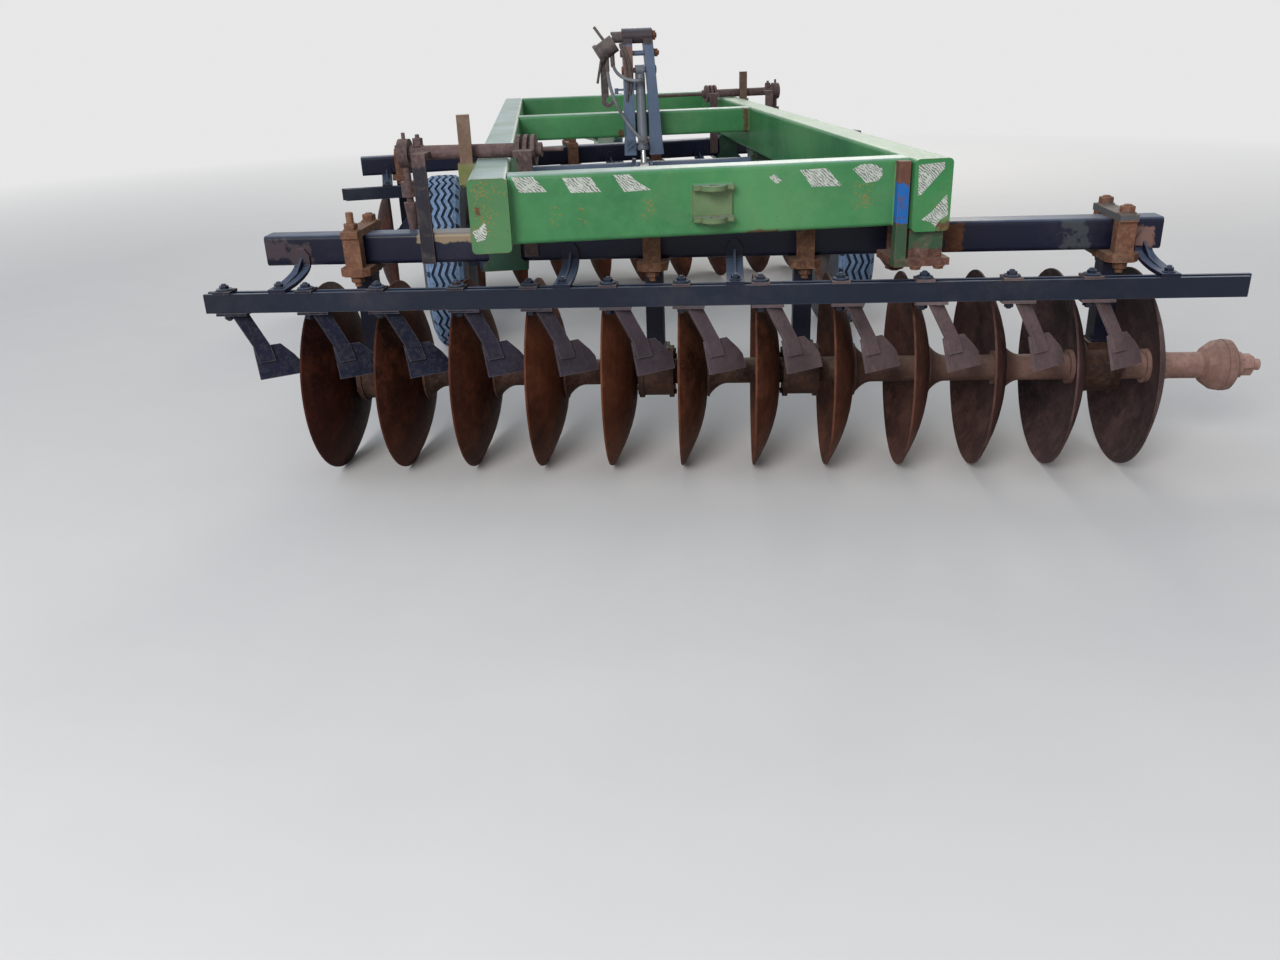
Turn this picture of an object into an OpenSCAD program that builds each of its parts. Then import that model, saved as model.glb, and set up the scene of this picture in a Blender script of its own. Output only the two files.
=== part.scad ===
// Trailed offset disc harrow: a box-section frame on transport wheels, carrying two gangs of
// dished discs that stand at opposite angles to the line of travel.
// Millimetres, +Z up, +Y the direction of travel, X to the right. The origin is on the ground,
// on the frame's centre line, below the rear ends of its side beams.

/* [Frame] */
// outer width over the two side beams
frame_w = 1416; // [1300:4:1600]
// length of the side beams
frame_l = 4450; // [4200:10:4800]
// height of the frame's top above the tops of the discs
frame_rise = 398; // [384:2:414]
// width of a side beam
side_w = 115; // [100:1:130]
// depth of a side beam
side_h = 210; // [190:2:230]
// wall of the frame's tubes
tube_wall = 8; // [5:0.5:12]
// rear face of the middle cross beam
mid_cross_y = 2571; // [2500:5:2640]
// square size of the middle cross beam
mid_cross_size = 120; // [100:2:140]

/* [Discs] */
// diameter of a disc
disc_d = 660; // [640:2:664]
// depth of a disc's dish, from rim plane to hub
disc_dish = 85; // [70:1:95]
// thickness of a disc
disc_t = 6; // [4:0.5:8]
// spacing of the discs along the axle
disc_pitch = 248; // [240:1:256]
// discs on each gang
disc_count = 12; // [12:1:12]

/* [Gangs] */
// cutting angle of the rear gang
rear_angle = 9.3; // [6:0.1:10]
// cutting angle of the front gang
front_angle = 7; // [6:0.1:10]
// middle of the rear gang, forward of the frame's rear end
rear_gang_y = 403; // [380:1:430]
// middle of the front gang, forward of the frame's rear end
front_gang_y = 3441; // [3400:1:3480]
// how far the rear gang's middle stands out to the right
rear_offset = 69; // [50:1:80]
// how far the front gang's middle stands out to the left
front_offset = 34; // [20:1:50]
// square size of a gang's beam
gang_beam = 100; // [90:1:104]
// outer diameter of a spool
spool_d = 88; // [80:1:96]
// outer diameter of a bearing housing
housing_d = 166; // [150:2:180]

/* [Wheels] */
// tyre diameter
tyre_d = 830; // [816:2:834]
// tyre section width
tyre_w = 210; // [190:2:216]
// distance between the two tyres' middle planes
wheel_track = 1940; // [1930:5:1980]
// wheel centre, forward of the frame's rear end
wheel_y = 2200; // [2180:2:2220]

/* [Lift] */
// rock shaft, forward of the frame's rear end
shaft_y = 2560; // [2550:1:2580]
// how far the rock shaft lies below the frame's top
shaft_drop = 288; // [284:1:294]
// outer diameter of the rock shaft
shaft_d = 89; // [80:1:95]
// bore of the lift cylinder
cylinder_bore = 38; // [34:1:40]
// diameter of the lift cylinder's rod
rod_d = 26; // [22:1:30]

/* [Drawbar] */
// length of the drawbar in front of the frame
drawbar_l = 1500; // [1400:10:1600]
// square size of the drawbar
drawbar_size = 120; // [100:2:130]
// diameter of the hole for the tractor's hitch pin
hitch_pin_d = 33; // [28:0.5:36]

/* [Hidden] */
$fn = 48;
joint_gap = 1;
pin_fit = 0.05;
hub_gap = 0.1;
axle_z = disc_d / 2;
frame_top = disc_d + frame_rise;
frame_bottom = frame_top - side_h;
shaft_z = frame_top - shaft_drop;
beam_top = frame_bottom - 15;
beam_bottom = beam_top - gang_beam;
side_x = (frame_w - side_w) / 2;
inner_w = frame_w - 2 * side_w;
corner_r = 14;

rear_end_step = 50;
rear_cross_w = 100;
rear_cross_h = 198;
front_cross_w = 100;

beam_left = -1525;
beam_right = 1415;
front_beam_more = 79;
hub_r = 60;
axle_core_d = 50;
housing_l = 120;
housing_off = 78;
bearing_discs = [0, 4, 6, 10];
bar_r = 280;
bar_z = disc_d + 5;
bar_left = -1645;
bar_right = 1607;
bar_stagger = 18;

// For each scraper, how far its clamp bolt stands to the left of its disc's rim.
clamp_shift = [218, 197, 211, 201, 216, 214, 232, 234, 237, 231, 218, 230];

// The two hoses of the lift: start, two guide points and end of each curve.
hose_d = 16;
hose_curves = [
  [
    [-112, 2470, frame_top + 253], [-112, 2470, frame_top + 142],
    [21, 2290, frame_top + 157], [21, 2406, frame_top + 157]
  ],
  [
    [-140, 2470, frame_top + 233], [-140, 2470, frame_top + 2],
    [21, 2230, frame_top - 128], [21, 2362, frame_top - 128]
  ]
];

green = [0.27, 0.45, 0.25];
navy = [0.10, 0.11, 0.18];
slate = [0.27, 0.35, 0.50];
rust = [0.42, 0.25, 0.18];
soil_steel = [0.33, 0.20, 0.15];
black_rubber = [0.10, 0.10, 0.12];
bright = [0.80, 0.80, 0.80];

// A block given by its lowest corner and its size.
module block(corner, size) {
  translate(corner) cube(size);
}

// The outline of a rolled tube or of its hollow: a rectangle with rounded corners.
module rolled(width, height, radius) {
  square([width - 2 * radius, height], center = true);
  square([width, height - 2 * radius], center = true);
  for (x = [-1, 1], y = [-1, 1])
    translate([x * (width / 2 - radius), y * (height / 2 - radius)]) circle(r = radius);
}

// A rectangular tube along Y, closed by a plate at its rear end.
module tube_y(corner, length, width, height) {
  translate(corner + [width / 2, 0, height / 2]) rotate([-90, 0, 0]) difference() {
    linear_extrude(length) rolled(width, height, corner_r);
    translate([0, 0, tube_wall]) linear_extrude(length)
      rolled(width - 2 * tube_wall, height - 2 * tube_wall, corner_r - tube_wall);
  }
}

// A rectangular tube along X, open at both ends.
module tube_x(corner, length, width, height) {
  translate(corner + [0, width / 2, height / 2]) rotate([90, 0, 90])
    linear_extrude(length) difference() {
      rolled(width, height, corner_r);
      rolled(width - 2 * tube_wall, height - 2 * tube_wall, corner_r - tube_wall);
    }
}

// A round bar or hole along X, Y or Z from a start point.
module rod_x(start, length, diameter) {
  translate(start) rotate([0, 90, 0]) cylinder(h = length, d = diameter);
}

module rod_y(start, length, diameter) {
  translate(start) rotate([-90, 0, 0]) cylinder(h = length, d = diameter);
}

module rod_z(start, length, diameter) {
  translate(start) cylinder(h = length, d = diameter);
}

module side_beam(side) {
  color(green) tube_y([side * side_x - side_w / 2, 0, frame_bottom], frame_l, side_w, side_h);
}

module rear_cross_beam() {
  color(green)
    tube_x([-inner_w / 2, rear_end_step, frame_top - rear_cross_h], inner_w, rear_cross_w, rear_cross_h);
}

module mid_cross_beam() {
  color(green)
    tube_x([-inner_w / 2, mid_cross_y, frame_top - mid_cross_size], inner_w, mid_cross_size, mid_cross_size);
}

module front_cross_beam() {
  color(green)
    tube_x([-inner_w / 2, frame_l - front_cross_w, frame_bottom], inner_w, front_cross_w, side_h);
}

// Towing clevis on the rear cross beam: a back plate and two lugs with a pin hole.
clevis_w = 120;
clevis_out = 75;
clevis_bottom = frame_top - 153;
clevis_top = frame_top - 48;
lug_t = 14;
clevis_pin_d = 26;

module rear_clevis() {
  color(green) difference() {
    union() {
      block([-clevis_w / 2, rear_end_step - 10, clevis_bottom], [clevis_w, 10, clevis_top - clevis_bottom]);
      for (z = [clevis_bottom, clevis_top - lug_t]) {
        block([-clevis_w / 2, rear_end_step - 40, z], [clevis_w, 32, lug_t]);
        rod_z([0, rear_end_step - 40, z], lug_t, clevis_out);
      }
    }
    rod_z([0, rear_end_step - 40, clevis_bottom - 1], 200, clevis_pin_d);
  }
}

// Places its children in a gang's own axes: X along the axle, Y forward, Z up from the ground.
module rear_gang_place() {
  translate([rear_offset, rear_gang_y, 0]) rotate([0, 0, -rear_angle]) children();
}

module front_gang_place() {
  translate([-front_offset, front_gang_y, 0]) rotate([0, 0, front_angle]) mirror([1, 0, 0]) children();
}

// The pivot of a gang: a bracket below the side beam with a vertical pin through the gang's beam.
pivot_pin_d = 40;
pivot_plate = 190;
pivot_plate_t = 14;
pivot_nut_d = 60;
pivot_nut_h = 22;
pivot_floor_t = 24;
pivot_floor_left = 42;
pivot_floor_right = 105;
pivot_web_t = 33;
pivot_web_out = 40;
pivot_air = 9;

function pivot_along(offset, angle) = (side_x - offset) / cos(angle);

module pivot_bracket(offset, angle) {
  s = pivot_along(offset, angle);
  floor_z = beam_bottom - pivot_air - pivot_floor_t;
  reach = gang_beam / 2 + pivot_web_out;
  color(rust) {
    block(
      [s - pivot_plate / 2, -reach, frame_bottom - pivot_plate_t],
      [pivot_plate, 2 * reach, pivot_plate_t]
    );
    block(
      [s - pivot_floor_left, -reach, floor_z],
      [pivot_floor_left + pivot_floor_right, 2 * reach, pivot_floor_t]
    );
    for (y = [-reach, reach - pivot_plate_t])
      block([s - pivot_floor_left, y, floor_z], [pivot_web_t, pivot_plate_t, frame_bottom - floor_z]);
    rod_z([s, 0, floor_z - pivot_nut_h], frame_bottom - floor_z + pivot_nut_h - 2, pivot_pin_d);
    rod_z([s, 0, floor_z - pivot_nut_h], pivot_nut_h, pivot_nut_d);
  }
}

// Jaw at the frame's rear end: a strap down the cross beam and a bolting plate below the side beam.
jaw_y = 10;
jaw_low = 10;
jaw_left = 100;
jaw_right = 71;
jaw_plate_l = 180;
jaw_plate_t = 22;
jaw_strap_w = 34;
jaw_strap_t = 36;
jaw_strap_drop = 6;
jaw_web_in = 52;
jaw_web_y = 30;
jaw_web_t = 16;

module rear_jaw() {
  low = beam_bottom + jaw_low;
  color(rust) {
    block(
      [side_x - jaw_left, rear_end_step - jaw_strap_t, low],
      [jaw_strap_w, jaw_strap_t, frame_top - jaw_strap_drop - low]
    );
    block([side_x - jaw_left, jaw_y, low], [jaw_left + jaw_right, jaw_plate_l, jaw_plate_t]);
    block([side_x - jaw_web_in, jaw_web_y, low], [2 * jaw_web_in, jaw_web_t, frame_bottom - low]);
  }
}

module gang_beam_tube(offset, angle, more) {
  color(navy) difference() {
    tube_x([beam_left, -gang_beam / 2, beam_bottom], beam_right + more - beam_left, gang_beam, gang_beam);
    rod_z([pivot_along(offset, angle), 0, beam_bottom - 1], gang_beam + 2, pivot_pin_d + 2 * pin_fit);
  }
}

// One disc about the axle: rim plane at 0, hub at disc_dish, hollow towards -X.
dish_steps = 8;

function dish_x(radius) = disc_dish * (1 - pow((radius - hub_r) / (disc_d / 2 - hub_r), 2));

module disc() {
  rim = disc_d / 2;
  step = (rim - hub_r) / dish_steps;
  inner = [for (k = [0:dish_steps]) let (r = hub_r + step * k) [r, dish_x(r)]];
  outer = [for (k = [dish_steps:-1:0]) let (r = hub_r + step * k) [r, dish_x(r) + disc_t]];
  rotate([0, 90, 0]) rotate_extrude($fn = 96)
    polygon(concat(
      [[axle_core_d / 2 + hub_gap, disc_dish]], inner, outer,
      [[axle_core_d / 2 + hub_gap, disc_dish + disc_t]]
    ));
}

function disc_x(i) = (i - (disc_count - 1) / 2) * disc_pitch;

module discs() {
  color(soil_steel) for (i = [0:disc_count - 1])
    translate([disc_x(i), 0, axle_z]) disc();
}

// The turning axle: a core bar, spools with a trumpet behind each disc, the end ball and the nuts.
flare_d = 180;
flare_l = 62;
flare_rim = 8;
flare_steps = 6;
flange_t = 14;
axle_left = 150;
axle_tail = 450;
ball_d = 168;
ball_ring_d = 172;
ball_ring_z = 66;
ball_ring_t = 16;
ball_start = 257;
ball_l = 130;
end_nut_d = 60;
end_nut_l = 38;
tail_d = 38;

function flare_r(part) = spool_d / 2 + (flare_d / 2 - 6 - spool_d / 2) * pow(1 - part, 2);

// The trumpet that backs a disc up, and the smooth half of the ball, turned about the axle.
module flare() {
  rotate_extrude() polygon(concat(
    [[0, 0], [flare_d / 2, 0], [flare_d / 2, flare_rim]],
    [for (k = [0:flare_steps]) [flare_r(k / flare_steps), flare_rim + flare_l * k / flare_steps]],
    [[0, flare_rim + flare_l]]
  ));
}

module ball() {
  rotate_extrude() polygon([
    [0, 0], [spool_d / 2, 0], [spool_d / 2 + 16, 10], [ball_d / 2 - 14, 24], [ball_d / 2 - 3, 40],
    [ball_d / 2, 52], [ball_d / 2, 92], [ball_d / 2 - 12, 102], [spool_d / 2, 108],
    [spool_d / 2, ball_l], [0, ball_l]
  ]);
  translate([0, 0, ball_ring_z]) cylinder(h = ball_ring_t, d = ball_ring_d);
}

module spool(start, length, flared, flanged) {
  translate([start, 0, axle_z]) rotate([0, 90, 0]) {
    cylinder(h = length, d = spool_d);
    if (flared) flare();
    if (flanged) translate([0, 0, length - flange_t]) cylinder(h = flange_t, d = 2 * hub_r - 4);
  }
}

module axle() {
  hub_face = disc_dish + disc_t + hub_gap;
  spool_l = disc_pitch - disc_t - 2 * hub_gap;
  first = disc_x(0) + disc_dish;
  last = disc_x(disc_count - 1);
  color(soil_steel) {
    rod_x([first - axle_left, 0, axle_z], last + axle_tail - 90 - first + axle_left, axle_core_d);
    for (i = [0:disc_count - 2])
      spool(disc_x(i) + hub_face, spool_l, len(search(i, bearing_discs)) == 0, true);
    rod_x([first - 60, 0, axle_z], 60 - hub_gap, spool_d);
    rod_x([first - axle_left + 40, 0, axle_z], 50, end_nut_d);
    spool(last + hub_face, ball_start - hub_face, true, false);
    translate([last + ball_start, 0, axle_z]) rotate([0, 90, 0]) ball();
    rod_x([last + ball_start + ball_l, 0, axle_z], end_nut_l, end_nut_d);
    rod_x([last + ball_start + ball_l + 30, 0, axle_z], axle_tail - ball_start - ball_l - 30, tail_d);
  }
}

// Bearing housings on the spools, with a foot on top for the hanger.
housing_lip = 8;
housing_lip_t = 16;
foot_w = 90;
foot_l = 88;
foot_rise = 12;

function bearing_x(i) = disc_x(i) + disc_dish + housing_off;

module bearings() {
  color(rust) for (i = bearing_discs)
    difference() {
      union() {
        rod_x([bearing_x(i) - housing_l / 2, 0, axle_z], housing_l, housing_d);
        for (side = [-1, 1])
          rod_x(
            [bearing_x(i) + side * (housing_l - housing_lip_t) / 2 - housing_lip_t / 2, 0, axle_z],
            housing_lip_t, housing_d + 2 * housing_lip
          );
        block([bearing_x(i) - foot_w / 2, -foot_l / 2, axle_z], [foot_w, foot_l, housing_d / 2 + foot_rise]);
      }
      rod_x([bearing_x(i) - housing_l / 2 - 1, 0, axle_z], housing_l + 2, spool_d + 2 * pin_fit);
    }
}

// Hangers: square posts between the bearings and the clamps on the gang's beam.
post_w = 60;
post_l = 75;
clamp_w = 56;
clamp_t = 22;
clamp_foot_w = 100;
clamp_foot_t = 26;
clamp_bolt_y = 98;
clamp_over = 34;
spacer_w = 56;
spacer_l = 44;

module hangers() {
  low = axle_z + housing_d / 2 + foot_rise;
  color(navy) for (i = bearing_discs)
    block([bearing_x(i) - post_w / 2, -post_l / 2, low], [post_w, post_l, beam_bottom - clamp_foot_t - low]);
}

module beam_clamps() {
  half = clamp_bolt_y + clamp_over;
  color(rust) for (i = bearing_discs)
    translate([bearing_x(i), 0, 0]) {
      block([-clamp_w / 2, -half, beam_top], [clamp_w, 2 * half, clamp_t]);
      translate([0, 0, beam_bottom - clamp_foot_t]) linear_extrude(clamp_foot_t) polygon([
        [-clamp_foot_w / 2, -half + 22], [-clamp_foot_w / 2 + 22, -half], [clamp_foot_w / 2 - 22, -half],
        [clamp_foot_w / 2, -half + 22], [clamp_foot_w / 2, half - 22], [clamp_foot_w / 2 - 22, half],
        [-clamp_foot_w / 2 + 22, half], [-clamp_foot_w / 2, half - 22]
      ]);
      for (side = [-1, 1])
        block(
          [-spacer_w / 2, side * clamp_bolt_y - spacer_l / 2, beam_bottom],
          [spacer_w, spacer_l, gang_beam]
        );
    }
}

// Scraper bar: two rails behind the discs, on hangers that bend back from the gang's beam.
rail_t = 14;
rail_h = 62;
rail_gap = 22;
rail_hanger_x = [-1400, -482, 60, 1359];
rail_hanger_w = 55;
rail_hanger_t = 12;
rail_hanger_top = beam_top - 41;
rail_hanger_tip = 24;
rail_top = bar_z + rail_h / 2;
bend_steps = 8;

module scraper_rails() {
  color(navy) for (side = [-1, 1])
    block(
      [bar_left, -bar_r + side * (rail_gap + rail_t) / 2 - rail_t / 2, bar_z - rail_h / 2],
      [bar_right - (side < 0 ? bar_stagger : 0) - bar_left, rail_t, rail_h]
    );
}

// A point of the bend that one face of a rail hanger follows: down the beam, then back to the rails.
function bend(face, drop, part) = [
  face * pow(1 - part, 3) + 3 * face * part * pow(1 - part, 2)
    + 3 * (-bar_r + 90) * pow(part, 2) * (1 - part) + (-bar_r + 30) * pow(part, 3),
  (beam_bottom + 8) * pow(1 - part, 3) + 3 * (rail_top + 12 + drop) * part * pow(1 - part, 2)
    + 3 * (rail_top + drop) * pow(part, 2) * (1 - part) + (rail_top + drop) * pow(part, 3)
];

module rail_hangers() {
  face = -gang_beam / 2;
  half = rail_hanger_w / 2;
  color(navy) for (x = rail_hanger_x)
    intersection() {
      translate([x - half, 0, 0]) rotate([90, 0, 90]) linear_extrude(rail_hanger_w)
        polygon(concat(
          [[face, rail_hanger_top]],
          [for (k = [0:bend_steps]) bend(face, 0, k / bend_steps)],
          [[-bar_r - 26, rail_top], [-bar_r - 26, rail_top + rail_hanger_t]],
          [for (k = [bend_steps:-1:0]) bend(face - rail_hanger_t, rail_hanger_t, k / bend_steps)],
          [[face - rail_hanger_t, rail_hanger_top]]
        ));
      translate([x, 0, 0]) rotate([90, 0, 0]) linear_extrude(2 * bar_r)
        polygon([
          [-half, rail_top - 1], [half, rail_top - 1], [half, rail_hanger_top - rail_hanger_tip],
          [rail_hanger_tip / 2, rail_hanger_top], [-rail_hanger_tip / 2, rail_hanger_top],
          [-half, rail_hanger_top - rail_hanger_tip]
        ]);
    }
}

// Scrapers: a clamp on the rails, a flat arm and a blade that stands turned and leaning by each disc.
scraper_plate = 56;
scraper_plate_l = 64;
scraper_plate_t = 8;
scraper_foot = 100;
scraper_bolt_d = 18;
blade_turn = 35;
blade_lean = 18;
blade_w = 140;
blade_h = 108;
blade_t = 8;
blade_taper = 3;
blade_cut = 53;
blade_bend_x = 17;
blade_bend_z = 41;
blade_step = 63;
blade_x = 89;
blade_y = -325;
blade_z = bar_z - 250;
arm_w = 52;
arm_t = 10;
arm_high = 226;
arm_step = -46;
arm_splay = 8;
arm_lap = 54;

module scraper() {
  low = bar_z - rail_h / 2 - scraper_plate_t;
  rear = -bar_r - scraper_plate_l / 2;
  block([-scraper_plate / 2, rear, low], [scraper_foot, scraper_plate_l, scraper_plate_t]);
  block([-scraper_plate / 2, rear, rail_top], [scraper_plate, scraper_plate_l, scraper_plate_t]);
  rod_z([0, -bar_r, low - 12], rail_h + 2 * scraper_plate_t + 20, scraper_bolt_d);
  translate([blade_x, blade_y, blade_z]) rotate([0, 0, blade_turn]) rotate([90 - blade_lean, 0, 0]) {
    translate([0, 0, -blade_t]) linear_extrude(blade_t)
      polygon([
        [0, 0], [blade_w, 0], [blade_w - blade_taper, blade_h - blade_step],
        [blade_w - blade_bend_x, blade_h - blade_bend_z], [blade_w - blade_cut, blade_h], [0, blade_h]
      ]);
    linear_extrude(arm_t)
      polygon([
        [arm_step, arm_high], [arm_step + arm_w, arm_high], [arm_w, blade_h],
        [arm_w + arm_splay, blade_h - arm_lap], [arm_splay, blade_h - arm_lap], [0, blade_h]
      ]);
  }
}

module scrapers() {
  color(rust) for (i = [0:disc_count - 1])
    translate([disc_x(i) - clamp_shift[i], 0, 0]) scraper();
}

// Yoke: a tube across the top of the side beam, tied down to the gang's beam at both ends.
yoke_d = 46;
yoke_y = 40;
yoke_out = 285;
yoke_end = 20;
ring_t = 34;
ring_d = 92;
link_rod_d = 24;
link_nut_d = 50;
link_nut_h = 50;
link_nut_drop = 140;
link_cone_h = 90;
tie_w = 45;
tie_t = 12;
tie_x = 30;
tie_lift = 18;
arm_drop = 14;
arm_h = 20;
cheek_air = 6;
cheek_t = 12;
cheek_step = 24;
cheek_d = 98;

function yoke_along(offset, angle) = -(side_x + offset) / cos(angle);

module yoke(offset, angle) {
  s = yoke_along(offset, angle);
  left = s - yoke_out;
  inner = s + side_w / 2 / cos(angle) + (yoke_y + cheek_d / 2) * tan(angle) + cheek_air;
  cheeks_w = 2 * cheek_step + cheek_t;
  z = frame_top + yoke_d / 2 + joint_gap;
  back = -gang_beam / 2 - tie_t;
  color(rust) {
    rod_x([left, yoke_y, z], inner + cheeks_w + yoke_end - left, yoke_d);
    rod_x([left - ring_t, yoke_y, z], ring_t + 1, ring_d);
    rod_z([left - ring_t / 2, yoke_y, beam_top], z - beam_top - ring_d / 4, link_rod_d);
    rod_z([left - ring_t / 2, yoke_y, z - link_nut_drop], link_nut_h, link_nut_d);
    translate([left - ring_t / 2, yoke_y, beam_top])
      cylinder(h = link_cone_h, d1 = link_rod_d + 2, d2 = link_nut_d - 4);
    block([left + tie_x, back, beam_bottom], [tie_w, tie_t, z - beam_bottom - arm_drop + arm_h]);
    block([left + tie_x, back, z - arm_drop], [tie_w, yoke_y - back, arm_h]);
    for (k = [0:2])
      rod_x([inner + k * cheek_step, yoke_y, z], cheek_t, cheek_d);
    block(
      [inner + cheeks_w - tie_w, back, beam_bottom + tie_lift],
      [tie_w, tie_t, z - beam_bottom - tie_lift - arm_drop + arm_h]
    );
    block([inner, back, z - arm_drop], [cheeks_w, yoke_y - back, arm_h]);
  }
}

// Stop post: a square bar held by a short sleeve on the side beam, behind the yoke's tube.
post_size = 40;
post_top = frame_top + 142;
sleeve_size = 56;
sleeve_h = 66;
sleeve_top = frame_top - 8;
stop_x = side_x + side_w / 2 + sleeve_size / 2;

module stop_post(place_x, place_y) {
  low = sleeve_top - sleeve_h;
  color(rust) translate([place_x, place_y, 0]) {
    block([-post_size / 2, -post_size / 2, low - 6], [post_size, post_size, post_top - low + 6]);
    block([-sleeve_size / 2, -sleeve_size / 2, low], [sleeve_size, sleeve_size, sleeve_h]);
  }
}

// Where the yoke's tube crosses the outer face of the side beam, in the machine's own Y.
function yoke_rear_y(gang_y, offset, angle) =
  gang_y + (stop_x + offset) * tan(angle) + (yoke_y - yoke_d / 2) / cos(angle) - (post_size / 2) * tan(angle);

rear_stop_y = yoke_rear_y(rear_gang_y, rear_offset, rear_angle) - post_size / 2 - joint_gap;
front_stop_y = yoke_rear_y(front_gang_y, front_offset, front_angle) - post_size / 2 - joint_gap;

// Keeper: a shoe and a loop below the side beam, round the free end of the gang's beam.
shoe_t = 14;
keeper_w = 106;
keeper_in = 18;
keeper_foot_w = 150;
keeper_t = 16;
keeper_flare = 38;
keeper_gap = 8;
keeper_swing = 150;

module keeper(side, gang_y, offset, angle) {
  middle = gang_y + (side_x + offset) * tan(angle);
  rear = middle - gang_beam / 2 / cos(angle) - keeper_w / 2 * tan(angle) - keeper_gap;
  front = rear + gang_beam / cos(angle) + keeper_w * tan(angle) + 2 * keeper_gap + keeper_swing;
  low = beam_bottom - keeper_gap - keeper_t;
  high = frame_bottom - low;
  color(green) translate([side * (side_x - keeper_in), 0, low]) {
    block([-keeper_w / 2, rear - keeper_t, high - shoe_t], [keeper_w, front - rear + 2 * keeper_t, shoe_t]);
    for (y = [rear, front + keeper_t])
      translate([0, y, 0]) rotate([90, 0, 0]) linear_extrude(keeper_t)
        polygon([
          [-keeper_foot_w / 2, 0], [keeper_foot_w / 2, 0], [keeper_foot_w / 2, keeper_t],
          [keeper_w / 2, keeper_flare], [keeper_w / 2, high], [-keeper_w / 2, high],
          [-keeper_w / 2, keeper_flare], [-keeper_foot_w / 2, keeper_t]
        ]);
    block([-keeper_foot_w / 2, rear - keeper_t, 0], [keeper_foot_w, front - rear + 2 * keeper_t, keeper_t]);
  }
}

// Mast: two leaning legs on the middle cross beam, tied by a knuckle on top and a bolt below it.
mast_y = 2470;
mast_x = 34;
mast_lean = -22;
mast_foot_half = 92;
mast_head_half = 73;
mast_leg_w = 46;
mast_leg_l = 80;
mast_drop = 178;
mast_rise = 347;
mast_low = frame_top - mast_drop;
mast_leg_top = frame_top + mast_rise;
mast_step_low = 20;
mast_step_high = 90;
knuckle_d = 70;
knuckle_left = -62;
knuckle_right = 84;
knuckle_over = 12;
knuckle_z = mast_leg_top + knuckle_over;
mast_bolt_drop = 67;
mast_bolt_z = mast_leg_top - mast_bolt_drop;
mast_bolt_d = 24;
mast_pin_drop = 145;
mast_pin_z = mast_leg_top - mast_pin_drop;

module mast() {
  head = mast_x + mast_lean;
  rear = mast_y - mast_leg_l / 2;
  color(slate) {
    for (side = [-1, 1])
      intersection() {
        translate([0, mid_cross_y, 0]) rotate([90, 0, 0]) linear_extrude(mid_cross_y - rear)
          polygon([
            [mast_x + side * mast_foot_half, mast_low], [head + side * mast_head_half, mast_leg_top],
            [head + side * (mast_head_half - mast_leg_w), mast_leg_top],
            [mast_x + side * (mast_foot_half - mast_leg_w), mast_low]
          ]);
        translate([mast_x - 2 * mast_foot_half, 0, 0]) rotate([90, 0, 90]) linear_extrude(4 * mast_foot_half)
          polygon([
            [rear, mast_low], [mid_cross_y, mast_low], [mid_cross_y, frame_top + mast_step_low],
            [rear + mast_leg_l, frame_top + mast_step_high], [rear + mast_leg_l, mast_leg_top],
            [rear, mast_leg_top]
          ]);
      }
    rod_x([knuckle_left, mast_y, knuckle_z], knuckle_right - knuckle_left, knuckle_d);
    rod_x([knuckle_left + 6, mast_y, mast_bolt_z], knuckle_right - knuckle_left + 10, mast_bolt_d);
    rod_x([knuckle_left, mast_y, mast_pin_z], knuckle_right - knuckle_left + 20, pin_d);
  }
}

// Hose couplings beside the mast's head: a slanting valve block with its handles and a hanging hook.
coupling_d = 84;
coupling_l = 100;
coupling_slant = 122.5;
coupling_x = -100;
coupling_drop = 17;
coupling_z = mast_leg_top - coupling_drop;
coupling_lip = 12;
coupling_lip_t = 18;
neck_d = 50;
neck_rise = 24;
valve_rod_l = 110;
valve_rod_d = 14;
valve_rod_slant = -36;
stem_l = 120;
stem_d = 12;
stem_slant = 192;
handle_l = 54;
handle_d = 15;
fitting_d = 22;
fitting_l = 36;
hose_gap = 0.5;
hook_drop = 268;
hook_h = 215;
hook_w = 38;
hook_r = 32;
hook_eye_r = 14;
hook_t = 20;

module hose_couplings() {
  color(slate) {
    rod_x([coupling_x - 10, mast_y, coupling_z + neck_rise], knuckle_left - coupling_x + 10, neck_d);
    translate([coupling_x, mast_y, coupling_z]) rotate([0, -coupling_slant, 0]) {
      cylinder(h = coupling_l, d = coupling_d);
      translate([0, 0, coupling_l - coupling_lip_t])
        cylinder(h = coupling_lip_t, d = coupling_d + coupling_lip);
    }
    translate([coupling_x - 32, mast_y, coupling_z - 14]) rotate([0, valve_rod_slant, 0])
      cylinder(h = valve_rod_l, d = valve_rod_d);
    translate([coupling_x - 66, mast_y, coupling_z - 66]) rotate([0, stem_slant, 0])
      cylinder(h = stem_l, d = stem_d);
    rod_x([knuckle_left - handle_l, mast_y, knuckle_z + 14], handle_l, handle_d);
    for (curve = hose_curves)
      rod_z([curve[0][0], mast_y, curve[0][2] + hose_gap], fitting_l, fitting_d);
    translate([coupling_x - 52, mast_y + hook_t + 16, coupling_z - hook_drop]) rotate([90, 0, 0])
      linear_extrude(hook_t) difference() {
        union() {
          translate([-20, 0]) square([hook_w, hook_h]);
          translate([12, 0]) circle(r = hook_r);
        }
        translate([16, 4]) circle(r = hook_eye_r);
        translate([16, 4]) square([2 * hook_r, 2 * hook_r]);
      }
  }
}

// A point and a direction of a hose's curve, and the hose itself as rings round the curve.
hose_steps = 13;
hose_sides = 10;

function curve_at(curve, part) =
  curve[0] * pow(1 - part, 3) + 3 * curve[1] * part * pow(1 - part, 2)
  + 3 * curve[2] * pow(part, 2) * (1 - part) + curve[3] * pow(part, 3);

function curve_way(curve, part) =
  let (way = 3 * (curve[1] - curve[0]) * pow(1 - part, 2) + 6 * (curve[2] - curve[1]) * part * (1 - part)
    + 3 * (curve[3] - curve[2]) * pow(part, 2))
  way / norm(way);

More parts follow.
